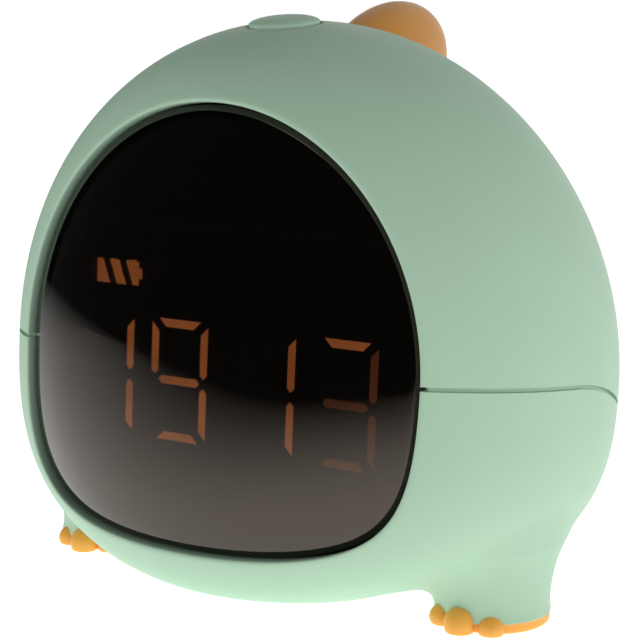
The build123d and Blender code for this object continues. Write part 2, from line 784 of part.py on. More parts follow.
def socket():
    """The charging socket: a rounded metal shell with a contact tongue."""
    mouth = surface_y(0, rear_row_level, 0.0, rear=True) - socket_back
    outer = RectangleRounded(socket_width, socket_height, socket_height / 2 - 0.02)
    inner = RectangleRounded(socket_width - 2 * socket_wall, socket_height - 2 * socket_wall,
                             socket_height / 2 - socket_wall - 0.02)
    place = rearward(0, mouth - socket_length)
    body = place * (extrude(outer, amount=socket_length) - Pos(0, 0, 1.2) * extrude(inner, amount=socket_length))
    tongue = place * Pos(0, 0, socket_length / 2 - 0.4) * Box(6.7, 0.7, socket_length - 1.0)
    return body + tongue


# ---------------------------------------------------------------- night light board
def light_board():
    board = Pos(0, 0, -light_board_thickness / 2) * Box(light_board_width, light_board_length, light_board_thickness)
    board = fillet(board.edges().filter_by(Axis.Z), 3.0)
    for x in (-light_post_x, light_post_x):
        board -= cylinder(x, 0, -4, 4, small_screw_radius + screw_clearance)
    return light_place * board


def light_board_screws():
    seat = -light_board_thickness
    return group([light_place * Pos(x, 0, seat) * small_screw() for x in (-light_post_x, light_post_x)])


def night_leds():
    """A lamp under each fin."""
    lamps = []
    for y in (11.0, 0.0, -11.0):
        lens_cap = Pos(0, y, night_led_height) * scale(Sphere(night_led_size * 0.36), by=(1, 1, 0.6))
        base = Pos(0, y, night_led_height / 2) * Box(night_led_size, night_led_size, night_led_height)
        lamps.append(light_place * (base + lens_cap))
    return group(lamps)


# ---------------------------------------------------------------- feet and pads
foot_seat = -body_height + pad_thickness + foot_head_height + 0.05


def foot():
    """An orange sole with three rounded toes that overlap the leg's front, right-hand side."""
    ground = -body_height + sole_pad_show
    top = -body_height + sole_height
    sole = cylinder(leg_x, leg_y, ground, top, leg_radius + 0.1)
    shape = fillet(sole.edges().sort_by(Axis.Z)[0], sole_rounding)
    toe_pieces = []
    for dx, dy, radius, height in toes:
        ball = scale(Sphere(1), by=(radius, radius, height * 0.62))
        toe_pieces.append(Pos(leg_x + dx, leg_y + dy, -body_height + height * 0.38) * ball)
    shape = (shape + toe_pieces) & Pos(0, 0, ground + far / 2) * Box(2 * far, 2 * far, far)
    cuts = [leg(), cylinder(leg_x, leg_y, ground - 1, ground + pad_thickness - sole_pad_show, pad_radius + seat_gap)]
    cuts.append(cylinder(leg_x, leg_y, ground - 1, foot_seat, small_head_radius + seat_gap))
    cuts.append(cylinder(leg_x, leg_y, ground - 1, top + 1, small_screw_radius + screw_clearance))
    return shape - cuts


def foot_screw():
    """The foot's screw, its low head let into the sole above the pad."""
    place = Pos(leg_x, leg_y, foot_seat)
    return place * screw(small_screw_radius, small_head_radius, foot_head_height, small_screw_length)


def foot_pad():
    low = -body_height
    pad = cylinder(leg_x, leg_y, low, low + pad_thickness, pad_radius)
    return chamfer(pad.edges().sort_by(Axis.Z)[0], 0.2)


def belly_pads():
    low = -body_height
    high = low + belly_clearance + belly_pad_recess
    pads = []
    for x in (-belly_pad_x, belly_pad_x):
        pad = cylinder(x, belly_pad_y, low, high, belly_pad_radius)
        pads.append(chamfer(pad.edges().sort_by(Axis.Z)[0], 0.3))
    return group(pads)


def case_screws():
    """The four long-reach screws that hold the shells together, casing frame."""
    one = screw(case_screw_radius, case_head_radius, case_head_height, case_screw_length)
    return group([Pos(x, y, case_head_level) * one for x, y in case_screw_spots])


# ---------------------------------------------------------------- the clock
def mirrored(shape):
    return mirror(shape, Plane.YZ)


nodes["lower_shell"] = lower_shell()
nodes["left_foot"], nodes["right_foot"] = mirrored(foot()), foot()
nodes["left_foot_pad"], nodes["right_foot_pad"] = mirrored(foot_pad()), foot_pad()
nodes["foot_screws"] = group([foot_screw(), mirrored(foot_screw())])
nodes["belly_pads"] = belly_pads()

in_casing = {
    "upper_shell": upper_shell(),
    "front_lens": lens(),
    "night_light_crest": crest(),
    "display_mask": display_mask(),
    "display_segments": display_segments(),
    "display_leds": display_leds(),
    "display_board": display_board(),
    "display_frame": display_frame(),
    "display_frame_screws": frame_screws(),
    "battery": battery(),
    "battery_pad": battery_pad(),
    "main_board": main_board(),
    "main_board_screws": main_board_screws(),
    "main_board_parts": board_parts(),
    "speaker": speaker(),
    "speaker_gasket": speaker_gasket(),
    "charging_socket": socket(),
    "light_board": light_board(),
    "light_board_screws": light_board_screws(),
    "night_leds": night_leds(),
    "top_button": top_button(),
    "top_plunger": top_plunger(),
    "top_switch": top_switch(),
    "top_board": top_board(),
    "top_board_screws": top_board_screws(),
    "rear_switches": group([rear_switch(x) for x in rear_button_x]),
    "case_screws": case_screws(),
}
for name, x in zip(rear_button_names, rear_button_x):
    in_casing[name] = rear_button(x)
    in_casing[name.replace("button", "plunger")] = rear_plunger(x)
for name, shape in in_casing.items():
    nodes[name] = leaned(shape)

boxes = [shape.bounding_box(optimal=True) for shape in nodes.values()]
middle_y = (min(box.min.Y for box in boxes) + max(box.max.Y for box in boxes)) / 2
stand = Pos(0, -middle_y, body_height)
for name, shape in nodes.items():
    export_step(stand * shape, f"parts/{name}.step")
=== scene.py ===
"""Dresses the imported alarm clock: mint shells, smoked window, lit numerals, amber crest, feet and stage."""

import json
import math

import bmesh
import bpy
import numpy as np
from mathutils import Matrix, Vector


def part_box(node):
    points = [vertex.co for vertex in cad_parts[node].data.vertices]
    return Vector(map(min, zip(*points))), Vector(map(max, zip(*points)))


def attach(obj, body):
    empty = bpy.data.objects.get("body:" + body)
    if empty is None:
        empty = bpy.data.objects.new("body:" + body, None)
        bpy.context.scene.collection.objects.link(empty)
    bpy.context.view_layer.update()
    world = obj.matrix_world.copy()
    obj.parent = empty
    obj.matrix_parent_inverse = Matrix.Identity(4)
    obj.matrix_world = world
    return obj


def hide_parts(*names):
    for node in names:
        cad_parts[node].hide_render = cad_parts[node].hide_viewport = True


bl_info = {
    "name": "Dinosaur alarm clock",
    "version": (1, 0, 0),
    "blender": (4, 5, 0),
    "location": "View3D > Sidebar > Clock",
    "description": "Builds the visible pieces of a children's alarm clock around its packed frame",
    "category": "Add Mesh",
}

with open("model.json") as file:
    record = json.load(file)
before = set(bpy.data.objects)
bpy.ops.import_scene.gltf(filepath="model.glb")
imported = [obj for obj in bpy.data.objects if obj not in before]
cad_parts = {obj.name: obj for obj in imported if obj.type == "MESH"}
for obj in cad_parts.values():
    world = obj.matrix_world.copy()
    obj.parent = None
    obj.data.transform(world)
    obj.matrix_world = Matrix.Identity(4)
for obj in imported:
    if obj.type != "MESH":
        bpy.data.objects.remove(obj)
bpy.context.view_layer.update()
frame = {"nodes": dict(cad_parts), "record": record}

MM = 0.001
# The casing is drawn in millimetres in its own frame: origin on its widest plane, X across, face towards -Y.
HALF_WIDTH, FRONT_DEPTH, BACK_DEPTH = 55.0, 38.3, 39.6
DOME_HEIGHT, BOWL_DEPTH = 56.2, 37.8
SIDE_POWERS = (2.0, 2.6)  # superellipse exponents above and below the widest plane
FRONT_POWERS = (2.6, 4.5)
BACK_POWERS = (1.7, 3.4)
LEAN = math.radians(4.0)
BODY_HEIGHT = 37.5
BELLY_LEVEL = -36.0  # upright frame
WALL = 2.4

NUDGE = 0.02  # the short step that slopes are measured over
MERGE = 1e-7  # metres within which doubled vertices are joined
INNER_REACH, OUTER_REACH = 6.5, 8.0  # how far in and out along a hole's line its skins are looked for
MARCH = (12.0, 84.0, 2.0)  # first, last and step of the lengths tried along a casing ray
HALVINGS = 24

# parting line: its level round the face, how far it drops, and between which y it drops
SEAM_LEVEL, SEAM_DIP, DIP_START, DIP_END = 2.3, 16.0, -8.0, 44.0

# window: half width, reach above and below its level, and handle lengths of its round top and squarer bottom
WINDOW_HALF, WINDOW_TOP, WINDOW_BOTTOM, WINDOW_LEVEL = 38.2, 40.5, 28.9, 1.7
ELLIPSE_HANDLE, WINDOW_SQUARENESS = 0.5523, 0.84
# lens: depth of its face and back under the casing's surface, gap to the rim, and fall of its sloping edge
LENS_RECESS, LENS_BACK, LENS_GAP, LENS_FALL, LENS_CURVE = 1.4, 4.0, 0.35, 0.4, 1.4
LENS_QUARTER, LENS_ROWS, LENS_BACK_ROWS, LENS_EDGE_ROWS = 90, 49, 25, (0.12, 0.3, 0.6, 0.85, 1.0)
LENS_GLOSS_TINT, LENS_ROUGHNESS, LENS_IOR = (1.0, 0.86, 0.72), 0.03, 1.8
FLANGE_WIDTH, FLANGE_THICKNESS = 1.3, 1.0
RIM_DEPTH, RIM_STEP, RIM_BACK = 2.9, 1.6, 2.8  # depth of the window's wall, how far out the skin behind it is
# lip behind the seam: depths of its two faces, how far it passes the groove, and its start beside the window
LIP_OUTER, LIP_INNER, LIP_COVER, LIP_SINK, LIP_START = 0.75, 2.2, 0.2, 0.02, 0.9
LIP_STEPS, LIP_SETTLE = 401, 30

TAIL_ROOT, TAIL_ROOT_RADIUS, TAIL_NECK, TAIL_NECK_RADIUS = 10.0, 17.0, 12.0, 8.0
TAIL_TIP_RADIUS, TAIL_LENGTH, TAIL_RISE, TAIL_LEVEL = 6.0, 18.0, math.radians(8.0), -1.0
TAIL_SLOPE, TAIL_BLEND, TAIL_STEPS = 0.8, 5.0, 200

LEG_X, LEG_Y, LEG_RADIUS = 39.2, -4.5, 9.0
LEG_TOP_X, LEG_TOP_Y, LEG_TOP_RADIUS, LEG_TOP_LEVEL, LEG_SWELL = 38.5, -4.0, 13.0, -12.0, 1.5
LEG_CORE = (38.2, -4.0, -22.0)  # upright frame: where a leg's rays start
LEG_MARCH, LEG_SPREAD, LEG_TURNS, LEG_ROWS = (5.0, 17.0, 0.5), math.radians(112), 240, 130
SOLE_HEIGHT, SOLE_SHOW, SOLE_ROUNDING, SOLE_RIM, SOLE_BEVEL, SOLE_SINK = 2.35, 0.3, 0.6, 0.15, 0.1, 0.4
# fillet between leg and bowl, dying out upwards; past its reach the leg's skin dives into the bowl
FILLET_WIDTH, FILLET_TOP, FILLET_FADE, FILLET_LEAST = 4.6, -15.0, 9.0, 0.4
HAIR, DIVE_REACH, DIVE_MOST = 0.03, 4.2, 4
# tuck of the bowl beside each leg: a bell-shaped hollow
TUCK_DEPTH, TUCK_X, TUCK_WIDTH, TUCK_LEVEL, TUCK_HEIGHT = 1.5, 31.0, 7.0, -35.0, 4.0
BELLY_BLEND, BELLY_SEARCH = 0.8, 3.0  # rounding of its edge, start of the search for a hole's mouth above it
# each toe: x and y from the leg's axis, radius, height
TOES = ((-4.9, -6.95, 2.4, 3.4), (-0.8, -9.3, 2.55, 4.2), (3.85, -7.6, 2.2, 3.4))
TOE_SHARE = 0.38  # height of a toe's middle as a share of its height

# each fin: y, z, half length, half height, half thickness, rise in degrees
FINS = (
    (21.1, 47.9, 20.2, 12.1, 6.5, 20.0),
    (29.5, 28.5, 15.0, 8.6, 5.2, 12.0),
    (34.5, 13.2, 10.0, 5.8, 4.0, 4.0),
)

TOP_Y, TOP_RADIUS, TOP_CROWN, TOP_GAP, TOP_SEAT = -9.9, 5.8, 1.0, 0.3, 3.1
TOP_SUNK, TOP_SKIRT, TOP_ROUNDING = 0.15, 2.0, (2.4, 0.6)  # crown: (1 - share^2.4)^0.6
REAR_X, REAR_LEVEL, REAR_RADIUS, REAR_HEIGHT = (-22.0, -12.0, 12.0, 22.0), -20.6, 3.3, 0.8
REAR_BODIES = ("mode", "alarm", "down", "up")
REAR_GAP, REAR_SEAT, REAR_SKIRT = 0.3, 3.6, 1.7  # a pressed cap's skirt stays off the floor of its hole
REAR_FLAT, REAR_ROWS, REAR_TURNS = 0.86, 12, 97
# shares of the radius and falls below the cap's face, from its rounded edge down the skirt and across
REAR_EDGE = ((0.92, 0.05), (0.97, 0.16), (1.0, 0.42), (1.0, REAR_SKIRT), (0.0, REAR_SKIRT))
SOCKET_SIZE, SOCKET_CLEARANCE, SOCKET_DEPTH = (8.94, 3.16), 0.6, 9.0
RESET_X, RESET_RADIUS, SMALL_HOLE_DEPTH = 6.8, 0.6, 2.0
SOUND_Y, SOUND_PITCH, SOUND_RINGS, SOUND_RADIUS = 8.0, 4.2, 2, 0.9
SCREW_SPOTS = ((-25.0, -12.0), (25.0, -12.0), (-32.0, 12.0), (32.0, 12.0))
SCREW_WELL_RADIUS, SCREW_LEVEL = 2.85, -15.0
HOLE_CHAMFER, CHAMFER_SHARE = 0.25, 0.3  # millimetres, and no more than this share of a small hole's radius

DISPLAY_FACE, MASK_THICKNESS = -23.7, 4.0
DIGIT_HALF_WIDTH, DIGIT_HALF_HEIGHT, DIGIT_PITCH, DIGIT_MIDDLE_GAP = 4.84, 9.22, 14.79, 16.69
DIGIT_SHIFT, DIGIT_LEVEL, SEGMENT_WIDTH, SEGMENT_GAP = 0.47, -2.54, 1.35, 0.75
ICON_LEFT, ICON_LEVEL, ICON_WIDTH, ICON_HEIGHT = -25.0, 14.05, 8.5, 3.9
ICON_BARS, ICON_SLANT, ICON_GAP = 3, 1.5, 1.4
NUB = (0.7, 1.7)
NUB_OVERLAP = 0.02
PROUD = 0.03  # how far the segments stand out of the mask
# state of the segments top, bottom, middle, upper right, lower right, upper left, lower left of each digit
UNLIT, BRIGHT, FAINT = "012"
STATES = ("0001100", "1111110", "0001100", "1222200")

# the stage, in metres and watts
FLOOR_REACH, FLOOR_GLOW, FLOOR_LIFT = 3.0, 0.85, 0.05
# a dark sheet seen only in gloss: a painted dark reflection on the lens and shells
REFLECTION_SHEET_PROFILE = ((0.08, 0.002), (0.9, 0.002), (0.7, 0.3), (0.7, 1.6))  # distance from the clock, height
REFLECTION_SHEET_TURNS, REFLECTION_SHEET_SQUEEZE, REFLECTION_SHEET_FADE = (-130, 80), 0.72, (0.08, 0.31)
ROOM_TOP, ROOM_DIM = 0.7, 0.13
LAMPS = (("right_lamp", (0.62, 0.05, 0.09), 0.9), ("left_lamp", (-0.5, -0.35, 0.1), 0.6))
LAMP_SIZE, LAMP_TARGET = 0.3, (0, 0, 0.045)
CAMERA_TURN, CAMERA_RISE, CAMERA_DISTANCE = math.radians(34.0), math.radians(11.318), 309.07  # distance in mm
IMAGE_SIZE, CAMERA_FOCUS, CAMERA_AXIS = 640.0, 1817.3, (305.15, 356.35)  # in pixels
SENSOR_WIDTH, CLIP_START = 36.0, 0.01

NOISE_BAND = (0.3, 0.7)  # the part of a noise's range that its values mostly fill
FINE_GRAIN = 9000.0  # cycles per metre
CREST_SCATTER = 0.35

FOOT_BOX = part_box("right_foot_pad")
STAND = np.array([0.0, (FOOT_BOX[0][1] + FOOT_BOX[1][1]) / 2 / MM - LEG_Y, BODY_HEIGHT])


# ---------------------------------------------------------------- frames
def upright(points):
    """Casing frame to upright frame: tipped back about X by the lean."""
    c, s = math.cos(LEAN), math.sin(LEAN)
    x, y, z = points[..., 0], points[..., 1], points[..., 2]
    return np.stack([x, y * c + z * s, z * c - y * s], -1)


def casing(points):
    """Upright frame back to casing frame."""
    c, s = math.cos(LEAN), math.sin(LEAN)
    x, y, z = points[..., 0], points[..., 1], points[..., 2]
    return np.stack([x, y * c - z * s, z * c + y * s], -1)


def stand(points):
    """Upright millimetres to the row frame's metres."""
    return (points + STAND) * MM


def place(points):
    """Casing-frame millimetres to the row frame's metres."""
    return stand(upright(np.asarray(points, float)))


# ---------------------------------------------------------------- casing surface
def reach(share, power):
    """Superellipse: (1 - share^power)^(1/power)."""
    return np.maximum(1 - np.clip(np.abs(share), 0, 1) ** power, 1e-9) ** (1 / power)


def half_sizes(z, inset=0.0):
    """Half width, front depth and back depth of the casing at height z, inset from its surface."""
    up = z >= 0
    share = z / np.where(up, DOME_HEIGHT - inset, BOWL_DEPTH - inset)
    sizes = []
    for size, powers in ((HALF_WIDTH, SIDE_POWERS), (FRONT_DEPTH, FRONT_POWERS), (BACK_DEPTH, BACK_POWERS)):
        sizes.append((size - inset) * np.where(up, reach(share, powers[0]), reach(share, powers[1])))
    return sizes


def surface_y(x, z, inset=0.0, rear=False):
    """Y on the inset surface at x, z: the front or the back half ellipse of the level section."""
    width, front, back = half_sizes(z, inset)
    share = np.sqrt(np.maximum(1 - (x / width) ** 2, 0))
    return back * share if rear else -front * share


def gauge(x, y, z, inset):
    """Length of (x, y) measured in the half sizes at height z: 1 on the surface."""
    width, front, back = half_sizes(z, inset)
    return np.hypot(x / width, y / np.where(y < 0, front, back))


def hull_field(p, inset=0.0):
    """Distance to the casing's inset surface, to first order: gauge less 1, over the gauge's slope."""
    x, y, z = p[..., 0], p[..., 1], p[..., 2]
    g = np.maximum(gauge(x, y, z, inset), 1e-6)
    width, front, back = half_sizes(z, inset)
    depth = np.where(y < 0, front, back)
    step = np.where(z >= 0, NUDGE, -NUDGE)
    rise = (gauge(x, y, z + step, inset) - g) / step
    slope = np.sqrt((x / (width**2 * g)) ** 2 + (y / (depth**2 * g)) ** 2 + rise**2)
    return (g - 1) / np.maximum(slope, 1e-4)


def bezier(handles, share):
    """A cubic Bezier curve: its four handles weighted by the cubic terms of share and 1 - share."""
    a, b, c, d = (np.asarray(h, float) for h in handles)
    t = np.asarray(share)[..., None]
    return a * (1 - t) ** 3 + 3 * b * t * (1 - t) ** 2 + 3 * c * t**2 * (1 - t) + d * t**3


def tail_field(p):
    """Distance to the tail: a surface of revolution whose radius follows a Bezier profile along its axis."""
    c, s = math.cos(TAIL_RISE), math.sin(TAIL_RISE)
    x, y, z = p[..., 0], p[..., 1], p[..., 2] - TAIL_LEVEL
    along, across = y * c + z * s, z * c - y * s
    root, tip = BACK_DEPTH - TAIL_ROOT, BACK_DEPTH + TAIL_LENGTH
    neck = root + TAIL_NECK
    handles = ((TAIL_ROOT_RADIUS, root), (TAIL_NECK_RADIUS, neck), (TAIL_TIP_RADIUS, tip), (0, tip))
    profile = bezier(handles, np.linspace(0, 1, TAIL_STEPS))
    off = np.hypot(x, across)
    side = (off - np.interp(along, profile[:, 1], profile[:, 0])) * TAIL_SLOPE
    side = np.where(along < root, np.maximum(side, root - along), side)
    return np.where(along > tip, np.hypot(off, along - tip), side)


def leg_field(p):
    """Distance to the pair of legs: round sections that grow and lean inwards going up."""
    q, foot = upright(p), BODY_HEIGHT - SOLE_HEIGHT
    share = np.clip((q[..., 2] + foot) / (LEG_TOP_LEVEL + foot), 0, 1)
    x = LEG_X + (LEG_TOP_X - LEG_X) * share
    y = LEG_Y + (LEG_TOP_Y - LEG_Y) * share
    radius = LEG_RADIUS + (LEG_TOP_RADIUS - LEG_RADIUS) * share**LEG_SWELL
    return np.hypot(np.abs(q[..., 0]) - x, q[..., 1] - y) - radius


def blend_min(a, b, width):
    """Smooth union of two distances, rounded over a width."""
    h = np.clip(0.5 + 0.5 * (b - a) / width, 0, 1)
    return b * (1 - h) + a * h - width * h * (1 - h)


def blend_max(a, b, width):
    """Smooth intersection of two distances."""
    return -blend_min(-a, -b, width)


def dome_solid(p):
    """The upper casing with its tail."""
    return blend_min(hull_field(p), tail_field(p), TAIL_BLEND)


def bowl_solid(p):
    """The lower casing with its flat belly, tucked in a little beside the legs."""
    q = upright(p)
    across, up = (np.abs(q[..., 0]) - TUCK_X) / TUCK_WIDTH, (q[..., 2] - TUCK_LEVEL) / TUCK_HEIGHT
    tuck = TUCK_DEPTH * np.exp(-(across**2) - up**2)
    return blend_max(hull_field(p) + tuck, BELLY_LEVEL - q[..., 2], BELLY_BLEND)


def leg_solid(p):
    """A leg with the fillet that carries it into the bowl, cut level just inside its sole."""
    level, legs = upright(p)[..., 2], leg_field(p)
    width = FILLET_LEAST + FILLET_WIDTH * np.clip((FILLET_TOP - level) / FILLET_FADE, 0, 1)
    bowl = bowl_solid(p) + HAIR + np.clip(legs - DIVE_REACH, 0, DIVE_MOST)
    return np.maximum(blend_min(bowl, legs, width), SOLE_HEIGHT - SOLE_SINK - BODY_HEIGHT - level)


def inner_solid(p):
    """The hollow inside the casing, over a flat floor."""
    return np.maximum(hull_field(p, WALL), -(upright(p)[..., 2] - BELLY_LEVEL - WALL))


def seam_height(y, drop=0.0):
    """Parting line: level round the face, then a smooth step down under the tail."""
    share = np.clip((y - DIP_START) / (DIP_END - DIP_START), 0, 1)
    return SEAM_LEVEL - SEAM_DIP * share**2 * (3 - 2 * share) - drop


# ---------------------------------------------------------------- rays from the parting line
def ray(distance, turn, tilt, drop):
    """Point on a ray whose origin rides on the parting line: turn goes round -Y, tilt away from -Y."""
    y = -distance * np.cos(tilt)
    x = distance * np.sin(tilt) * np.cos(turn)
    z = seam_height(y, drop) + distance * np.sin(tilt) * np.sin(turn)
    return np.stack([x, y, z], -1)


def furthest(solid, at, shape, march):
    """Length at which each ray leaves a solid for good: a march outwards, then halving."""
    first, last, step = march
    low = np.full(shape, first - step)
    for length in np.arange(first, last, step):
        low = np.where(solid(at(np.full(shape, length))) < 0, length, low)
    high = low + step
    for _ in range(HALVINGS):
        middle = (low + high) / 2
        inside = solid(at(middle)) < 0
        low, high = np.where(inside, middle, low), np.where(inside, high, middle)
    return low


def cast(turn, tilt, drop, solid):
    """Outermost point of a solid along each ray."""

    def at(length):
        return ray(length, turn, tilt, drop)

    return at(furthest(solid, at, np.broadcast(turn, tilt).shape, MARCH))


def window_outline(count=160):
    """The window's outline about its centre: four cubic Bezier quarters, as x and z."""
    half, top, bottom = WINDOW_HALF, WINDOW_TOP, -WINDOW_BOTTOM
    t = np.linspace(0, 1, count)[:-1]
    parts = []
    round_off, square_off = ELLIPSE_HANDLE, WINDOW_SQUARENESS
    for x, z, handle, flip in ((half, top, round_off, False), (-half, top, round_off, True),
                               (-half, bottom, square_off, False), (half, bottom, square_off, True)):
        handles = [(x, 0), (x, handle * z), (x * handle, z), (0, z)]
        parts.append(bezier(handles[::-1] if flip else handles, t))
    return np.concatenate(parts)


def window_reach(turn, drop):
    """Distance from the parting line's centre to the window's outline, for each turn."""
    points = window_outline() + [0, WINDOW_LEVEL]
    centre = SEAM_LEVEL - drop
    angle = np.arctan2(points[:, 1] - centre, points[:, 0]) % (2 * math.pi)
    length = np.hypot(points[:, 1] - centre, points[:, 0])
    order = np.argsort(angle)
    return np.interp(turn % (2 * math.pi), angle[order], length[order], period=2 * math.pi)


def rim_points(turn, drop, grow, inset):
    """Points over the window's grown outline, on an inset of the casing's front."""
    length = window_reach(turn, drop) + grow
    x, z = length * np.cos(turn), SEAM_LEVEL - drop + length * np.sin(turn)
    return np.stack([x, surface_y(x, z, inset), z], -1)


# ---------------------------------------------------------------- meshes
def grid_faces(rows, columns, offset=0):
    """Quads of a grid of rows by columns vertices."""
    i = np.arange(rows - 1)[:, None] * columns + np.arange(columns - 1)[None, :] + offset
    return np.stack([i, i + 1, i + columns + 1, i + columns], -1).reshape(-1, 4)


def build_piece(name, points, faces, material, body, node=None, angle=32.0):
    """Makes a mesh object from metres and face lists, closes its doubles and puts it on its body."""
    mesh = bpy.data.meshes.new(name)
    lists = []
    for block in faces:
        lists += np.asarray(block).tolist() if not isinstance(block, list) else block
    mesh.from_pydata(np.asarray(points).tolist(), [], lists)
    work = bmesh.new()
    work.from_mesh(mesh)
    bmesh.ops.remove_doubles(work, verts=work.verts, dist=MERGE)
    bmesh.ops.recalc_face_normals(work, faces=work.faces)
    work.to_mesh(mesh)
    work.free()
    mesh.shade_smooth()
    mesh.set_sharp_from_angle(angle=math.radians(angle))
    piece = bpy.data.objects.new(name, mesh)
    bpy.context.scene.collection.objects.link(piece)
    mesh.materials.append(material)
    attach(piece, body)
    if node:
        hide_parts(node)


def tilt_of(points, drop):
    """How far points lie from the -Y axis of the parting line's rays."""
    radius = np.hypot(points[..., 0], points[..., 2] - (SEAM_LEVEL - drop))
    return np.arctan2(radius, -points[..., 1])


def shell_points(upper, drop, solid, turns, tilts, inner_tilts, rounding):
    """A half casing as a closed skin: outside, rounded window edge, rim wall and inside.

    Every column of the grid is one ray turn; along a column the points run from the rear pole over the
    outside to the window, round its edge and back over the inside to the rear pole.
    """
    start = 0.0 if upper else math.pi
    turn = start + np.linspace(0, math.pi, turns + 1)[:, None]
    outer_start = rim_points(turn, drop, rounding, 0.0)
    first = tilt_of(outer_start, drop)
    share = np.linspace(1, 0, tilts + 1)[None, :]
    outside = cast(turn, first + (math.pi - first) * share, drop, solid)
    outside[:, -1] = outer_start[:, 0]
    edge = rim_points(turn, drop, 0.0, 0.0)
    below = edge + [0, rounding, 0]
    t = np.linspace(0, 1, 6)[None, 1:, None]
    rounded = outer_start * (1 - t) ** 2 + 2 * edge * t * (1 - t) + below * t**2
    wall_share = np.linspace(0, 1, 4)[None, 1:, None]
    rim = below * (1 - wall_share) + rim_points(turn, drop, 0.0, RIM_DEPTH) * wall_share
    step = rim_points(turn, drop, RIM_STEP, RIM_DEPTH)
    first = tilt_of(rim_points(turn, drop, RIM_BACK, WALL), drop)
    share = np.linspace(0, 1, inner_tilts + 1)[None, :]
    inside = cast(turn, first + (math.pi - first) * share, drop, inner_solid)
    return np.concatenate([outside, rounded, rim, step, inside], axis=1)


def end_caps(turns, columns, tilts, inner_tilts):
    """Flat faces that close a half casing along the parting line: outside joined to inside."""
    caps = []
    ratio = tilts // inner_tilts
    for row, flip in ((0, False), (turns, True)):
        base = row * columns
        for k in range(inner_tilts):
            outer = [base + k * ratio + j for j in range(ratio + 1)]
            inner = [base + columns - 1 - k, base + columns - 2 - k]
            ring = outer + inner[::-1]
            caps.append(ring[::-1] if flip else ring)
        middle = [base + tilts + j for j in range(columns - tilts - inner_tilts)]
        caps.append(middle[::-1] if flip else middle)
    return caps


def project(points, axis, solid):
    """Slides points along an axis onto a solid's surface, by Newton steps."""
    for _ in range(6):
        value = solid(points)
        slope = (solid(points + axis * NUDGE) - value) / NUDGE
        points = points - axis * (value / np.where(np.abs(slope) < 0.05, 1.0, slope))[:, None]
    return points


def hole_axes(axis):
    """A hole's line and two directions across it, all of length 1."""
    axis = np.asarray(axis, float) / np.linalg.norm(axis)
    side = np.cross(axis, [0.0, 0.0, 1.0] if abs(axis[2]) < 0.9 else [0.0, 1.0, 0.0])
    side /= np.linalg.norm(side)
    return axis, side, np.cross(axis, side)


def open_edges(quads, rim, count):
    """Ends of the edges between rim vertices that a single quad uses, as places in the rim's list."""
    number = np.full(count, -1)
    number[rim] = np.arange(len(rim))
    edges = np.concatenate([quads[:, [k, (k + 1) % 4]] for k in range(4)])
    edges = edges[(number[edges] >= 0).all(1)]
    key = edges[:, 0].astype(np.int64) * count + edges[:, 1]
    back = edges[:, 1].astype(np.int64) * count + edges[:, 0]
    return number[edges[~np.isin(key, back)]].T


def pierce(points, quads, extra, hole, solid):
    """Sinks a hole with a chamfered mouth into a dense skin.

    A hole is its centre, the outward axis of its line, outline(angle) for its radius, and its depth. Faces
    whose middle is inside the mouth are taken out, the vertices round them slide onto the mouth, and a wall
    leads down to a floor. A hole deeper than the wall opens the inside of the skin too.
    """
    centre, axis, outline, depth = hole
    lip = min(HOLE_CHAMFER, CHAMFER_SHARE * float(outline(0.0)))
    axis, side, up = hole_axes(axis)
    rel = points - centre
    along, a, b = rel @ axis, rel @ side, rel @ up
    angle = np.arctan2(b, a)
    gap = np.hypot(a, b) - outline(angle) - lip
    close = (along > (-INNER_REACH if depth > WALL else -WALL / 2)) & (along < OUTER_REACH)
    gone = (gap[quads].mean(1) < 0) & close[quads].all(1)
    kept = quads[~gone]
    rim = np.intersect1d(np.unique(kept), np.unique(quads[gone]))
    radius = outline(angle[rim]) + lip
    spoke = np.cos(angle[rim])[:, None] * side + np.sin(angle[rim])[:, None] * up
    points = points.copy()
    points[rim] = project(centre + along[rim][:, None] * axis + radius[:, None] * spoke, axis, solid)
    height = (points[rim] - centre) @ axis
    rings = [centre + low[:, None] * axis + (radius - lip)[:, None] * spoke
             for low in (height - lip, np.full(len(rim), -depth))]
    p, q = open_edges(kept, rim, len(points))
    first, second, floor = (len(points) + k * len(rim) for k in range(3))
    extra.append(np.stack([rim[q], rim[p], first + p, first + q], -1))
    extra.append(np.stack([first + q, first + p, second + p, second + q], -1))
    extra.append(np.stack([second + q, second + p, np.full(len(p), floor)], -1))
    return np.concatenate([points, *rings, (centre - axis * depth)[None]]), kept


def pierced_shell(points, turns, tilts, inner_tilts, holes, solid):
    """A half casing's points and faces with its holes sunk in."""
    columns = points.shape[1]
    quads, extra = grid_faces(turns + 1, columns), []
    caps = end_caps(turns, columns, tilts, inner_tilts)
    points = points.reshape(-1, 3)
    for hole in holes:
        points, quads = pierce(points, quads, extra, hole, solid)
    return points, [quads, *extra, caps]


def revolve(profile, centre, axis, steps=128):
    """A surface of revolution from radii and heights about an axis, closed where it meets the axis."""
    axis = np.asarray(axis, float) / np.linalg.norm(axis)
    side = np.cross(axis, [1.0, 0.0, 0.0])
    side /= np.linalg.norm(side)
    up = np.cross(axis, side)
    turn = np.linspace(0, 2 * math.pi, steps + 1)[:, None, None]
    profile = np.asarray(profile, float)
    ring = np.cos(turn) * side + np.sin(turn) * up
    points = np.asarray(centre) + profile[None, :, 1:2] * axis + profile[None, :, 0:1] * ring
    return points.reshape(-1, 3), grid_faces(steps + 1, len(profile))


def ball(steps, rings):
    """A unit sphere: turn round Z by elevation."""
    turn = np.linspace(0, 2 * math.pi, steps + 1)[:, None]
    rise = np.linspace(-math.pi / 2, math.pi / 2, rings + 1)[None, :]
    x, y, z = np.cos(turn) * np.cos(rise), np.sin(turn) * np.cos(rise), np.sin(rise) + 0 * turn
    return np.stack([x, y, z], -1).reshape(-1, 3), grid_faces(steps + 1, rings + 1)


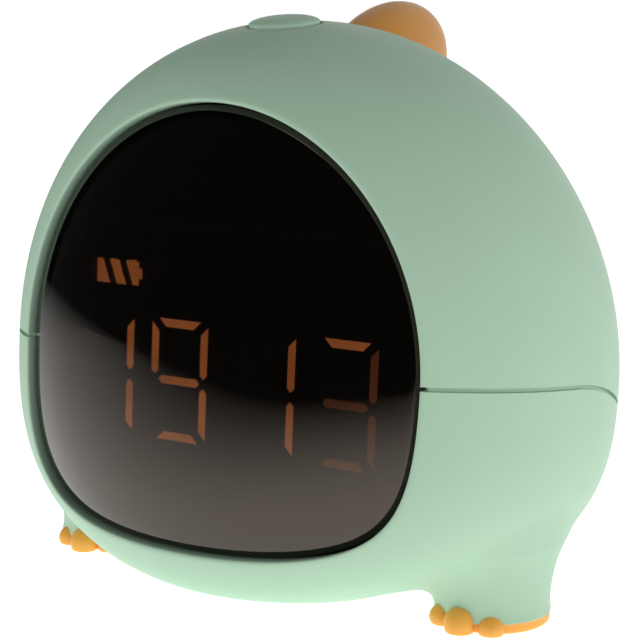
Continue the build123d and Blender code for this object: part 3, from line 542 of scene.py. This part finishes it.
def joined(parts):
    """Several point and face sets as one."""
    points, faces, offset = [], [], 0
    for part_points, part_faces in parts:
        points.append(part_points)
        faces.append(np.asarray(part_faces) + offset)
        offset += len(part_points)
    return np.concatenate(points), faces


# ---------------------------------------------------------------- materials
def add(tree, kind, values=()):
    """A new shader node with the given inputs set: a dict of input names and values."""
    made = tree.nodes.new(f"ShaderNode{kind}")
    for name, value in dict(values).items():
        made.inputs[name].default_value = value
    return made


def new_material(name):
    """A material whose only shader is an untouched Principled surface."""
    material = bpy.data.materials.new(name)
    material.use_nodes = True
    tree = material.node_tree
    tree.nodes.clear()
    out, shader = add(tree, "OutputMaterial"), add(tree, "BsdfPrincipled")
    tree.links.new(shader.outputs["BSDF"], out.inputs["Surface"])
    return material, tree, shader


def noise(tree, scale, detail=2.0, roughness=0.5):
    """Noise on Object coordinates, scale in cycles per metre."""
    texture = add(tree, "TexNoise", {"Scale": scale, "Detail": detail, "Roughness": roughness})
    tree.links.new(add(tree, "TexCoord").outputs["Object"], texture.inputs["Vector"])
    return texture.outputs["Fac"]


def ramp_between(tree, fac, places, colours):
    """A ramp from one colour to another between two values."""
    ramp = add(tree, "ValToRGB")
    for element, spot, colour in zip(ramp.color_ramp.elements, places, colours):
        element.position = spot
        element.color = (*colour, 1.0)
    tree.links.new(fac, ramp.inputs["Fac"])
    return ramp.outputs["Color"]


def tinted(tree, shader, fac, colour, spread):
    """Base colour wandering between two near tints."""
    tints = [[min(c * way, 1.0) for c in colour] for way in (1 - spread, 1 + spread)]
    tree.links.new(ramp_between(tree, fac, NOISE_BAND, tints), shader.inputs["Base Color"])


def bumped(tree, shader, fac, distance):
    """Fine relief from a texture, distance in metres."""
    bump = add(tree, "Bump", {"Distance": distance, "Strength": 1.0})
    tree.links.new(fac, bump.inputs["Height"])
    tree.links.new(bump.outputs["Normal"], shader.inputs["Normal"])


def roughened(tree, shader, fac, low, high):
    """Roughness wandering between two values."""
    start, end = NOISE_BAND
    band = add(tree, "MapRange", {"From Min": start, "From Max": end, "To Min": low, "To Max": high})
    tree.links.new(fac, band.inputs["Value"])
    tree.links.new(band.outputs["Result"], shader.inputs["Roughness"])


def moulded(name, colour, rough, spread, grain=FINE_GRAIN, relief=0.000006, sheen=0.5, metal=0.0):
    """Moulded or coated finish: slight drift of tint and gloss, and a fine grain."""
    material, tree, shader = new_material(name)
    tinted(tree, shader, noise(tree, 60.0, 3.0), colour, spread)
    roughened(tree, shader, noise(tree, 140.0, 2.0), *rough)
    bumped(tree, shader, noise(tree, grain, 2.0, 0.6), relief)
    shader.inputs["Specular IOR Level"].default_value = sheen
    shader.inputs["Metallic"].default_value = metal
    return material


def smoked(name, colour, gloss_tint, rough, ior):
    """Smoked clear plastic: dark, glossy with a warm film, lets the lit display through."""
    material, tree, shader = new_material(name)
    tinted(tree, shader, noise(tree, 40.0, 2.0), colour, 0.05)
    roughened(tree, shader, noise(tree, 120.0, 2.0), rough, rough * 1.6)
    shader.inputs["Transmission Weight"].default_value = 1.0
    shader.inputs["IOR"].default_value = ior
    shader.inputs["Specular Tint"].default_value = (*gloss_tint, 1.0)
    return material


def lamp_plastic(name, colour, glow, strength):
    """Frosted diffuser over lamps: a glow that is a little uneven."""
    material, tree, shader = new_material(name)
    tinted(tree, shader, noise(tree, 300.0, 2.0), colour, 0.1)
    shader.inputs["Roughness"].default_value = 0.45
    glows = ([c * 0.75 for c in glow], list(glow))
    uneven = ramp_between(tree, noise(tree, 110.0, 1.0), (0.35, 0.65), glows)
    tree.links.new(uneven, shader.inputs["Emission Color"])
    shader.inputs["Emission Strength"].default_value = strength
    return material


def amber(name, colour, weight):
    """Translucent amber plastic with light scattering under its skin."""
    material, tree, shader = new_material(name)
    tinted(tree, shader, noise(tree, 70.0, 3.0), colour, 0.03)
    roughened(tree, shader, noise(tree, 160.0, 2.0), 0.36, 0.44)
    bumped(tree, shader, noise(tree, FINE_GRAIN, 2.0, 0.6), 0.000005)
    shader.inputs["Subsurface Weight"].default_value = weight
    shader.inputs["Subsurface Scale"].default_value = 0.004
    shader.inputs["Subsurface Radius"].default_value = (1.0, 0.5, 0.2)
    return material


# ---------------------------------------------------------------- properties
class ClockLooks(bpy.types.PropertyGroup):
    """Sizes and colours of the clock that someone may want to change."""

    shell_colour: bpy.props.FloatVectorProperty(
        name="Shell colour", description="Colour of the two shells and the top button", subtype="COLOR",
        size=3, min=0, max=1, default=(0.415, 0.606, 0.452))
    crest_colour: bpy.props.FloatVectorProperty(
        name="Crest colour", description="Colour of the translucent crest", subtype="COLOR",
        size=3, min=0, max=1, default=(0.53, 0.215, 0.004))
    foot_colour: bpy.props.FloatVectorProperty(
        name="Foot colour", description="Colour of the feet and rear buttons", subtype="COLOR",
        size=3, min=0, max=1, default=(0.88, 0.40, 0.06))
    lens_colour: bpy.props.FloatVectorProperty(
        name="Lens colour", description="Tint of the smoked window", subtype="COLOR",
        size=3, min=0, max=1, default=(0.022, 0.021, 0.02))
    glow_colour: bpy.props.FloatVectorProperty(
        name="Glow colour", description="Light of the lit segments", subtype="COLOR",
        size=3, min=0, max=1, default=(1.0, 0.29, 0.08))
    glow_strength: bpy.props.FloatProperty(
        name="Glow strength", description="Brightness of the lit segments", min=0, default=9.0)
    faint_strength: bpy.props.FloatProperty(
        name="Faint strength", description="Brightness of the dimly lit segments", min=0, default=2.2)
    edge_rounding: bpy.props.FloatProperty(
        name="Edge rounding", description="Rounding of the window's edge, in millimetres",
        min=0.2, max=1.2, default=1.0)
    lens_chamfer: bpy.props.FloatProperty(
        name="Lens chamfer", description="Sloping edge round the window, in millimetres",
        min=0.2, max=2, default=0.9)
    seam_gap: bpy.props.FloatProperty(
        name="Seam gap", description="Width of the groove between the shells, in millimetres",
        min=0.1, max=2, default=0.7)
    turns: bpy.props.IntProperty(
        name="Turns", description="Columns of faces round each shell", min=40, max=400, default=320)
    tilts: bpy.props.IntProperty(
        name="Rows", description="Rows of faces from window to tail", min=40, max=300, default=216)


def looks():
    """The scene's clock settings."""
    return bpy.context.scene.clock_looks


def shell_material():
    """The shells' plastic, made once."""
    found = bpy.data.materials.get("mint_plastic")
    return found or moulded("mint_plastic", looks().shell_colour, (0.5, 0.56), 0.012, sheen=0.35)


def foot_material():
    """The feet's plastic, made once."""
    found = bpy.data.materials.get("orange_plastic")
    return found or moulded("orange_plastic", looks().foot_colour, (0.45, 0.52), 0.02)


# ---------------------------------------------------------------- top button's line
def dome_line():
    """The top button's place on the dome and its outward direction."""
    share = abs(TOP_Y) / FRONT_DEPTH
    z = DOME_HEIGHT * (1 - share ** FRONT_POWERS[0]) ** (1 / FRONT_POWERS[0])
    pull = share ** (FRONT_POWERS[0] - 1) / FRONT_DEPTH
    rise = (z / DOME_HEIGHT) ** (FRONT_POWERS[0] - 1) / DOME_HEIGHT
    tilt = math.atan2(pull, rise)
    return np.array([0.0, TOP_Y, z]), np.array([0.0, -math.sin(tilt), math.cos(tilt)])


def round_hole(radius):
    """An outline that is the same at every angle."""
    return lambda angle: np.full(np.shape(angle), radius)


def slot_outline(width, height):
    """A round-ended slot: where a line at each angle leaves it."""
    straight, end = width / 2 - height / 2, height / 2

    def outline(angle):
        c, s = np.abs(np.cos(angle)), np.abs(np.sin(angle))
        flat = end / np.maximum(s, 1e-6)
        root = c * straight + np.sqrt(np.maximum(end**2 - (s * straight) ** 2, 0))
        return np.where(flat * c < straight, flat, root)

    return outline


# ---------------------------------------------------------------- operators
class CLOCK_OT_upper_shell(bpy.types.Operator):
    """Builds the dome with its tail and the button's hole"""

    bl_idname = "clock.upper_shell"
    bl_label = "Upper shell"

    def execute(self, context):
        look = looks()
        inner = look.tilts // 4
        points = shell_points(True, 0.0, dome_solid, look.turns, look.tilts, inner, look.edge_rounding)
        holes = [(*dome_line(), round_hole(TOP_RADIUS + TOP_GAP), TOP_SEAT)]
        points, faces = pierced_shell(points, look.turns, look.tilts, inner, holes, dome_solid)
        material = shell_material()
        build_piece("dome_shell", place(points), faces, material, "clock", "upper_shell")
        return {"FINISHED"}


class CLOCK_OT_lower_shell(bpy.types.Operator):
    """Builds the bowl with its legs, rear openings and sound holes"""

    bl_idname = "clock.lower_shell"
    bl_label = "Lower shell"

    def execute(self, context):
        look = looks()
        inner = look.tilts // 4
        drop = look.seam_gap
        points = shell_points(False, drop, bowl_solid, look.turns, look.tilts, inner, look.edge_rounding)
        points, faces = pierced_shell(points, look.turns, look.tilts, inner, bowl_holes(), bowl_solid)
        material = shell_material()
        build_piece("bowl_shell", place(points), faces, material, "clock", "lower_shell")
        for side, name in ((-1, "left_leg"), (1, "right_leg")):
            skin = leg_points(side)
            faces = [grid_faces(*skin.shape[:2])]
            build_piece(name, place(skin.reshape(-1, 3)), faces, material, "clock")
        build_lip(drop)
        return {"FINISHED"}


def bowl_holes():
    """The bowl's holes: rear buttons, socket and reset pin behind, sound holes and screw wells below."""
    rear = [(x, round_hole(REAR_RADIUS + REAR_GAP), REAR_SEAT) for x in REAR_X]
    wide, high = (size + SOCKET_CLEARANCE for size in SOCKET_SIZE)
    rear += [(0.0, slot_outline(wide, high), SOCKET_DEPTH)]
    rear += [(RESET_X, round_hole(RESET_RADIUS), SMALL_HOLE_DEPTH)]
    holes = []
    for x, outline, depth in rear:
        centre = np.array([x, float(surface_y(np.array(x), np.array(REAR_LEVEL), rear=True)), REAR_LEVEL])
        holes.append((centre, (0, 1, 0), outline, depth))
    spots = [(0.0, SOUND_Y)]
    for ring in range(1, SOUND_RINGS + 1):
        for turn in np.arange(6 * ring) * 2 * math.pi / (6 * ring):
            spots.append((ring * SOUND_PITCH * math.cos(turn), SOUND_Y + ring * SOUND_PITCH * math.sin(turn)))
    down = np.array([0.0, 0.0, -1.0])
    for group, outline in ((spots, round_hole(SOUND_RADIUS)), (SCREW_SPOTS, round_hole(SCREW_WELL_RADIUS))):
        for x, y in group:
            centre = project(np.array([[x, y, BELLY_LEVEL + BELLY_SEARCH]]), down, bowl_solid)[0]
            depth = SMALL_HOLE_DEPTH if group is spots else SCREW_LEVEL - centre[2]
            holes.append((centre, down, outline, depth))
    return holes


def leg_points(side):
    """A leg as a closed skin: rays from a point inside it, from straight down to a little above level.

    Each ray ends on the outermost point of the leg and its fillet, or at a limit that lies inside the bowl.
    The last ring is drawn together at the rays' own point.
    """
    turn = np.linspace(0, 2 * math.pi, LEG_TURNS + 1)[:, None]
    dip = np.linspace(0, LEG_SPREAD, LEG_ROWS)[None, :]
    way = np.stack([np.sin(dip) * np.cos(turn), np.sin(dip) * np.sin(turn), -np.cos(dip) + 0 * turn], -1)

    def at(length):
        return casing(LEG_CORE + way * length[..., None])

    length = furthest(leg_solid, at, way.shape[:2], LEG_MARCH)
    points = np.concatenate([at(length), at(length * 0)[:, :1]], 1)
    return points * [side, 1, 1]


def build_lip(drop):
    """The lip behind the seam groove: a closed band carried round the casing at the parting line."""
    width, _, _ = half_sizes(np.array(SEAM_LEVEL), LIP_OUTER)
    begin = -math.acos((WINDOW_HALF + LIP_START) / float(width))
    turn = np.linspace(begin, math.pi - begin, LIP_STEPS)[:, None]
    deep = drop + LIP_COVER
    corners = ((LIP_OUTER, LIP_SINK), (LIP_OUTER, deep), (LIP_INNER, deep), (LIP_INNER, LIP_SINK))
    section = []
    for inset, low in (*corners, corners[0]):
        z = np.full(turn.shape, SEAM_LEVEL)
        for _ in range(LIP_SETTLE):  # level and place each follow the other, until both settle
            width, front, back = half_sizes(z, inset)
            y = np.where(np.sin(turn) < 0, front, back) * np.sin(turn)
            z = seam_height(y, low)
        width = half_sizes(z, inset)[0]
        section.append(np.stack([width * np.cos(turn), y, z], -1)[:, 0])
    points = np.stack(section, 1)
    last = points.shape[1] * (len(turn) - 1)
    faces = [grid_faces(*points.shape[:2]), [[0, 1, 2, 3], [last + 3, last + 2, last + 1, last]]]
    build_piece("seam_lip", place(points.reshape(-1, 3)), faces, shell_material(), "clock")


class CLOCK_OT_lens(bpy.types.Operator):
    """Builds the smoked window with its sloping edge and the flange behind the rim"""

    bl_idname = "clock.lens"
    bl_label = "Lens"

    def execute(self, context):
        chamfer = looks().lens_chamfer
        outline = window_outline(LENS_QUARTER)
        normal = np.roll(outline, -1, 0) - np.roll(outline, 1, 0)
        normal = np.stack([normal[:, 1], -normal[:, 0]], -1) / np.linalg.norm(normal, axis=1)[:, None]
        outline, normal = (np.concatenate([rows, rows[:1]]) for rows in (outline, normal))

        def ring(grow, share, inset, lower=0.0):
            flat = (outline + normal * grow) * share
            x, z = flat[:, 0], flat[:, 1] + WINDOW_LEVEL
            return np.stack([x, surface_y(x, z, inset) + lower, z], -1)

        face, flange = -LENS_GAP - chamfer, LENS_BACK - FLANGE_THICKNESS
        rings = [ring(face, share, LENS_RECESS) for share in np.linspace(0, 1, LENS_ROWS)]
        rings += [ring(-LENS_GAP - chamfer * (1 - t), 1, LENS_RECESS, LENS_FALL * chamfer * t**LENS_CURVE)
                  for t in LENS_EDGE_ROWS]
        rings += [ring(-LENS_GAP, 1, flange), ring(FLANGE_WIDTH, 1, flange), ring(FLANGE_WIDTH, 1, LENS_BACK)]
        rings += [ring(face, share, LENS_BACK) for share in np.linspace(1, 0, LENS_BACK_ROWS)]
        points = np.stack(rings, 1)
        faces = [grid_faces(*points.shape[:2])]
        points = place(points.reshape(-1, 3))
        material = smoked("smoked_plastic", looks().lens_colour, LENS_GLOSS_TINT, LENS_ROUGHNESS, LENS_IOR)
        build_piece("lens", points, faces, material, "clock", "front_lens", 25.0)
        return {"FINISHED"}


def segment_outlines():
    """The seven segments of one digit round its centre, as x, z corners."""
    half, tall, w, gap = DIGIT_HALF_WIDTH, DIGIT_HALF_HEIGHT, SEGMENT_WIDTH, SEGMENT_GAP
    top, wide = tall + w / 2, half - gap
    bar = [(-wide, top), (wide, top), (wide - w, top - w), (w - wide, top - w)]
    middle = [(-wide, 0), (w / 2 - wide, w / 2), (wide - w / 2, w / 2), (wide, 0), (wide - w / 2, -w / 2),
              (w / 2 - wide, -w / 2)]
    outer, inner, foot = half + w / 2, half - w / 2, gap + w / 2
    post = [(outer, top - gap), (inner, top - gap - w), (inner, foot), (half, gap), (outer, foot)]
    lower = [(x, -z) for x, z in post]
    mirrored = [[(-x, z) for x, z in shape] for shape in (post, lower)]
    return [bar, [(x, -z) for x, z in bar], middle, post, lower, *mirrored]


def icon_outlines():
    """The charge symbol's slanting bars and its nub, as x, z corners."""
    low, high = ICON_LEVEL - ICON_HEIGHT / 2, ICON_LEVEL + ICON_HEIGHT / 2
    step = (ICON_WIDTH + ICON_GAP) / ICON_BARS
    shapes = []
    for i in range(ICON_BARS):
        left, right = ICON_LEFT + i * step, ICON_LEFT + (i + 1) * step - ICON_GAP
        lean_left, lean_right = (ICON_SLANT / 2) * (i > 0), (ICON_SLANT / 2) * (i < ICON_BARS - 1)
        shapes.append([(left - lean_left, high), (right - lean_right, high), (right + lean_right, low),
                       (left + lean_left, low)])
    edge, half = ICON_LEFT + ICON_WIDTH - NUB_OVERLAP, NUB[1] / 2
    shapes.append([(edge, ICON_LEVEL + half), (edge + NUB[0], ICON_LEVEL + half),
                   (edge + NUB[0], ICON_LEVEL - half), (edge, ICON_LEVEL - half)])
    return shapes


def prism(outline, x=0.0, z=0.0):
    """A flat outline carried back through the mask."""
    flat = np.array(outline) + [x, z]
    count = len(flat)
    front = np.stack([flat[:, 0], np.full(count, DISPLAY_FACE - PROUD), flat[:, 1]], -1)
    points = np.concatenate([front, front + [0, MASK_THICKNESS, 0]])
    i = np.arange(count)
    sides = np.stack([i, (i + 1) % count, (i + 1) % count + count, i + count], -1)
    return points, [sides.tolist(), [list(range(count))], [list(range(count, 2 * count))[::-1]]]


class CLOCK_OT_display(bpy.types.Operator):
    """Builds the lit and unlit segments of the numerals and the charge symbol"""

    bl_idname = "clock.display"
    bl_label = "Display"

    def execute(self, context):
        look = looks()
        groups = {UNLIT: [], BRIGHT: [], FAINT: []}
        inner = DIGIT_MIDDLE_GAP / 2
        centres = [DIGIT_SHIFT + s for s in (-inner - DIGIT_PITCH, -inner, inner, inner + DIGIT_PITCH)]
        for centre, states in zip(centres, STATES):
            for outline, state in zip(segment_outlines(), states):
                groups[state].append(prism(outline, centre, DIGIT_LEVEL))
        groups[BRIGHT] += [prism(outline) for outline in icon_outlines()]
        lit = lamp_plastic("lit_diffuser", (0.8, 0.5, 0.3), look.glow_colour, look.glow_strength)
        faint = lamp_plastic("faint_diffuser", (0.3, 0.2, 0.12), look.glow_colour, look.faint_strength)
        unlit = moulded("unlit_diffuser", (0.012, 0.012, 0.012), (0.4, 0.5), 0.1)
        for state, name, material in ((BRIGHT, "lit_segments", lit), (FAINT, "faint_segments", faint),
                                      (UNLIT, "unlit_segments", unlit)):
            points, faces, offset = [], [], 0
            for part_points, part_faces in groups[state]:
                points.append(part_points)
                faces += [[[v + offset for v in face] for face in block] for block in part_faces]
                offset += len(part_points)
            build_piece(name, place(np.concatenate(points)), faces, material, "clock",
                        "display_segments")
        return {"FINISHED"}


class CLOCK_OT_crest(bpy.types.Operator):
    """Builds the amber fins along the back"""

    bl_idname = "clock.crest"
    bl_label = "Crest"

    def execute(self, context):
        parts = []
        for y, z, length, height, thickness, rise in FINS:
            points, faces = ball(120, 72)
            points = points * [thickness, length, height]
            c, s = math.cos(math.radians(rise)), math.sin(math.radians(rise))
            along, up = points[:, 1] * c - points[:, 2] * s, points[:, 1] * s + points[:, 2] * c
            parts.append((np.stack([points[:, 0], along, up], -1) + [0, y, z], faces))
        points, faces = joined(parts)
        points, material = place(points), amber("amber_plastic", looks().crest_colour, CREST_SCATTER)
        build_piece("crest_fins", points, faces, material, "clock", "night_light_crest")
        return {"FINISHED"}


class CLOCK_OT_top_button(bpy.types.Operator):
    """Builds the domed button on top"""

    bl_idname = "clock.top_button"
    bl_label = "Top button"

    def execute(self, context):
        centre, out = dome_line()
        share = np.sin(np.linspace(0, math.pi / 2, 25))
        inner, outer = TOP_ROUNDING
        crown = (TOP_CROWN + TOP_SUNK) * (1 - share**inner) ** outer - TOP_SUNK
        profile = [*zip(TOP_RADIUS * share, crown), (TOP_RADIUS, -TOP_SKIRT), (0.0, -TOP_SKIRT)]
        points, faces = revolve(profile, centre, out)
        points, material = place(points), shell_material()
        build_piece("button_cap", points, [faces], material, "snooze", "top_button")
        return {"FINISHED"}


class CLOCK_OT_rear_buttons(bpy.types.Operator):
    """Builds the four round buttons at the back, their faces cut to the casing's curve"""

    bl_idname = "clock.rear_buttons"
    bl_label = "Rear buttons"

    def execute(self, context):
        turn = np.linspace(0, 2 * math.pi, REAR_TURNS)[:, None]
        share, fall = np.array([*[(s, 0.0) for s in np.linspace(0, REAR_FLAT, REAR_ROWS)], *REAR_EDGE]).T
        faces = [grid_faces(len(turn), len(share))]
        for x, body in zip(REAR_X, REAR_BODIES):
            px = x + REAR_RADIUS * share * np.cos(turn)
            pz = REAR_LEVEL + REAR_RADIUS * share * np.sin(turn)
            py = surface_y(px, pz, -REAR_HEIGHT, rear=True) - fall
            points = place(np.stack([px, py, pz], -1).reshape(-1, 3))
            node = f"{body}_button"
            build_piece(f"{body}_cap", points, faces, foot_material(), body, node)
        return {"FINISHED"}


class CLOCK_OT_feet(bpy.types.Operator):
    """Builds the feet: a round sole with three toes each"""

    bl_idname = "clock.feet"
    bl_label = "Feet"

    def execute(self, context):
        radius = LEG_RADIUS + SOLE_RIM
        corner = [(radius - SOLE_ROUNDING * (1 - math.cos(a)), SOLE_SHOW + SOLE_ROUNDING * (1 - math.sin(a)))
                  for a in np.linspace(math.pi / 2, 0, 7)]
        rim = [(radius, SOLE_HEIGHT - SOLE_BEVEL), (LEG_RADIUS, SOLE_HEIGHT), (0.0, SOLE_HEIGHT)]
        profile = [(0.0, SOLE_SHOW), *corner, *rim]
        for side, name in ((-1, "left_foot"), (1, "right_foot")):
            parts = [revolve(profile, (LEG_X, LEG_Y, 0.0), (0, 0, 1))]
            for dx, dy, toe, height in TOES:
                points, faces = ball(64, 48)
                points = points * [toe, toe, height * (1 - TOE_SHARE)]
                points = points + [LEG_X + dx, LEG_Y + dy, height * TOE_SHARE]
                points[:, 2] = np.maximum(points[:, 2], SOLE_SHOW)
                parts.append((points, faces))
            points, faces = joined(parts)
            points = points * [side, 1, 1] - [0, 0, BODY_HEIGHT]
            build_piece(f"{name}_piece", stand(points), faces, foot_material(), "clock", name)
        return {"FINISHED"}


class CLOCK_OT_finishes(bpy.types.Operator):
    """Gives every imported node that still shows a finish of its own"""

    bl_idname = "clock.finishes"
    bl_label = "Inner finishes"

    def execute(self, context):
        coarse = {"grain": 700.0, "relief": 0.00002}
        dented = {"grain": 900.0, "relief": 0.00003}
        made = {
            "black_plastic": moulded("black_plastic_finish", (0.006,) * 3, (0.6, 0.7), 0.1, sheen=0.2),
            "led_body": moulded("lamp_resin", (0.8, 0.76, 0.6), (0.15, 0.25), 0.05),
            "circuit_board": moulded("board_mask", (0.03, 0.16, 0.07), (0.25, 0.35), 0.15, **coarse),
            "inner_plastic": moulded("white_plastic", (0.75, 0.75, 0.72), (0.45, 0.55), 0.02),
            "screw_steel": moulded("plated_steel", (0.6, 0.6, 0.62), (0.25, 0.4), 0.06, metal=1.0),
            "battery_foil": moulded("pouch_foil", (0.7, 0.71, 0.73), (0.3, 0.45), 0.05, **dented, metal=1.0),
            "foam_pad": moulded("foam", (0.05,) * 3, (0.9, 0.95), 0.2, 2500.0, 0.00008),
            "speaker_steel": moulded("coated_steel", (0.03,) * 3, (0.35, 0.5), 0.1),
            "socket_steel": moulded("nickel_shell", (0.62, 0.62, 0.64), (0.2, 0.32), 0.05, metal=1.0),
            "plunger_plastic": moulded("nylon", (0.03,) * 3, (0.4, 0.5), 0.1),
            "pad_rubber": moulded("pad_rubber_finish", (0.02,) * 3, (0.7, 0.8), 0.15, 3000.0, 0.00002),
        }
        slots = {row["node"]: row["material_slot"] for row in frame["record"]["subparts"]}
        for node, thing in frame["nodes"].items():
            finish = made.get(slots.get(node))
            if finish:
                thing.data.materials.clear()
                thing.data.materials.append(finish)
        return {"FINISHED"}


class CLOCK_OT_stage(bpy.types.Operator):
    """Lays the pale floor, the soft lamps and the camera"""

    bl_idname = "clock.stage"
    bl_label = "Stage"

    def execute(self, context):
        scene = context.scene
        scene.view_settings.view_transform = "Standard"
        lay_floor()
        hang_panel()
        light_room(scene)
        hang_lamps(scene)
        set_camera(scene)
        return {"FINISHED"}


def seen_plainly(tree):
    """1 for rays from the camera, off gloss and through glass, 0 for rays that light something."""
    path = add(tree, "LightPath")
    last = path.outputs["Is Camera Ray"]
    for name in ("Is Glossy Ray", "Is Transmission Ray"):
        larger = add(tree, "Math")
        larger.operation = "MAXIMUM"
        tree.links.new(last, larger.inputs[0])
        tree.links.new(path.outputs[name], larger.inputs[1])
        last = larger.outputs[0]
    return last


def stage_sheet(name, points, faces, material):
    """A sheet of the stage as a mesh object in the scene."""
    mesh = bpy.data.meshes.new(name)
    mesh.from_pydata(points, [], faces)
    mesh.materials.append(material)
    sheet = bpy.data.objects.new(name, mesh)
    bpy.context.scene.collection.objects.link(sheet)
    return sheet


def lay_floor():
    """A wide pale floor at table height with a glow of its own, seen as white away from the shadow."""
    material, tree, shader = new_material("floor_paper")
    shader.inputs["Base Color"].default_value = (0.86, 0.86, 0.86, 1)
    shader.inputs["Roughness"].default_value = 0.8
    shader.inputs["Specular IOR Level"].default_value = 0.1
    shader.inputs["Emission Color"].default_value = (1, 1, 1, 1)
    strength = add(tree, "Math")
    strength.operation = "MULTIPLY_ADD"
    strength.inputs[1].default_value = FLOOR_LIFT
    strength.inputs[2].default_value = FLOOR_GLOW
    tree.links.new(seen_plainly(tree), strength.inputs[0])
    tree.links.new(strength.outputs[0], shader.inputs["Emission Strength"])
    corners = [(FLOOR_REACH * x, FLOOR_REACH * y, 0) for x, y in ((-1, -1), (1, -1), (1, 1), (-1, 1))]
    stage_sheet("floor", corners, [(0, 1, 2, 3)], material)


def painted_reflection_sheet():
    """Black sheet for a painted dark reflection, seen in gloss only; it thins out to nothing towards the
    clock, wider sideways than forwards.
    """
    material, tree, shader = new_material("painted_reflection_sheet")
    shader.inputs["Base Color"].default_value = (0.004, 0.004, 0.004, 1)
    shader.inputs["Roughness"].default_value = 1.0
    shader.inputs["Specular IOR Level"].default_value = 0.0
    oval, length = add(tree, "VectorMath"), add(tree, "VectorMath")
    oval.operation, length.operation = "MULTIPLY", "LENGTH"
    oval.inputs[1].default_value = (REFLECTION_SHEET_SQUEEZE, 1.0, 1.0)
    cover = add(tree, "MapRange", {"From Min": REFLECTION_SHEET_FADE[0], "From Max": REFLECTION_SHEET_FADE[1]})
    tree.links.new(add(tree, "TexCoord").outputs["Object"], oval.inputs[0])
    tree.links.new(oval.outputs["Vector"], length.inputs[0])
    tree.links.new(length.outputs["Value"], cover.inputs["Value"])
    tree.links.new(cover.outputs["Result"], shader.inputs["Alpha"])
    return material


def hang_panel():
    """A dark sheet that rises in front of the clock from bare table near it; only gloss sees it, so it is a
    painted dark reflection in the lens and shells.
    """
    turn = np.radians(np.linspace(*REFLECTION_SHEET_TURNS, 106))[:, None]
    profile = bezier(REFLECTION_SHEET_PROFILE, np.linspace(0, 1, 60))[None]
    radius, height = profile[..., 0], profile[..., 1] + 0 * turn
    points = np.stack([radius * np.sin(turn), -radius * np.cos(turn), height], -1)
    faces = grid_faces(*points.shape[:2]).tolist()
    panel = stage_sheet("painted_reflection_panel", points.reshape(-1, 3).tolist(), faces, painted_reflection_sheet())
    # hidden from every ray but gloss: the sheet only paints a dark reflection
    for kind in ("camera", "diffuse", "transmission", "shadow", "volume_scatter"):
        setattr(panel, f"visible_{kind}", False)


def light_room(scene):
    """A room that is bright at table height and dim overhead; where it is looked at it is white paper."""
    world = bpy.data.worlds.new("room")
    scene.world = world
    world.use_nodes = True
    tree = world.node_tree
    tree.nodes.clear()
    split = add(tree, "SeparateXYZ")
    tree.links.new(add(tree, "TexCoord").outputs["Generated"], split.inputs["Vector"])
    shade = ramp_between(tree, split.outputs["Z"], (0.0, ROOM_TOP), ((1.0,) * 3, (ROOM_DIM,) * 3))
    room, paper = add(tree, "Background"), add(tree, "Background", {"Color": (1, 1, 1, 1)})
    tree.links.new(shade, room.inputs["Color"])
    mix, out = add(tree, "MixShader"), add(tree, "OutputWorld")
    tree.links.new(seen_plainly(tree), mix.inputs["Fac"])
    tree.links.new(room.outputs[0], mix.inputs[1])
    tree.links.new(paper.outputs[0], mix.inputs[2])
    tree.links.new(mix.outputs[0], out.inputs["Surface"])


def hang_lamps(scene):
    """Soft lamps low on the clock's two sides."""
    for name, spot, power in LAMPS:
        data = bpy.data.lights.new(name, "AREA")
        data.shape = "DISK"
        data.size = LAMP_SIZE
        data.energy = power
        lamp = bpy.data.objects.new(name, data)
        scene.collection.objects.link(lamp)
        aim = Vector(LAMP_TARGET) - Vector(spot)
        lamp.matrix_world = Matrix.Translation(spot) @ aim.to_track_quat("-Z", "Y").to_matrix().to_4x4()
        lamp.visible_glossy = False
        lamp.visible_transmission = False


def set_camera(scene):
    """The camera at the clock's right front, a little above it."""
    turn, rise = CAMERA_TURN, CAMERA_RISE
    back = Vector((math.sin(turn) * math.cos(rise), -math.cos(turn) * math.cos(rise), math.sin(rise)))
    spot = Vector(stand(np.zeros(3))) + back * CAMERA_DISTANCE * MM
    data = bpy.data.cameras.new("camera")
    camera = bpy.data.objects.new("camera", data)
    scene.collection.objects.link(camera)
    camera.matrix_world = Matrix.Translation(spot) @ back.to_track_quat("Z", "Y").to_matrix().to_4x4()
    data.sensor_width = SENSOR_WIDTH
    data.lens = CAMERA_FOCUS / IMAGE_SIZE * SENSOR_WIDTH
    data.shift_x = (IMAGE_SIZE / 2 - CAMERA_AXIS[0]) / IMAGE_SIZE
    data.shift_y = (CAMERA_AXIS[1] - IMAGE_SIZE / 2) / IMAGE_SIZE
    data.clip_start = CLIP_START
    scene.camera = camera


class CLOCK_PT_panel(bpy.types.Panel):
    """Lists the clock's pieces in the sidebar"""

    bl_label = "Alarm clock"
    bl_space_type = "VIEW_3D"
    bl_region_type = "UI"
    bl_category = "Clock"

    def draw(self, context):
        look = context.scene.clock_looks
        for name in ClockLooks.__annotations__:
            self.layout.prop(look, name)
        for step in STEPS:
            self.layout.operator(step.bl_idname)


STEPS = (
    CLOCK_OT_finishes,
    CLOCK_OT_upper_shell,
    CLOCK_OT_lower_shell,
    CLOCK_OT_lens,
    CLOCK_OT_display,
    CLOCK_OT_crest,
    CLOCK_OT_top_button,
    CLOCK_OT_rear_buttons,
    CLOCK_OT_feet,
    CLOCK_OT_stage,
)
CLASSES = (ClockLooks, *STEPS, CLOCK_PT_panel)


def register():
    """Adds the classes and the scene's settings."""
    for item in CLASSES:
        bpy.utils.register_class(item)
    bpy.types.Scene.clock_looks = bpy.props.PointerProperty(type=ClockLooks)


def unregister():
    """Takes them away again."""
    del bpy.types.Scene.clock_looks
    for item in reversed(CLASSES):
        bpy.utils.unregister_class(item)


def main():
    """Builds every piece in order."""
    register()
    for step in STEPS:
        group, name = step.bl_idname.split(".")
        getattr(getattr(bpy.ops, group), name)()


if __name__ == "__main__":
    main()
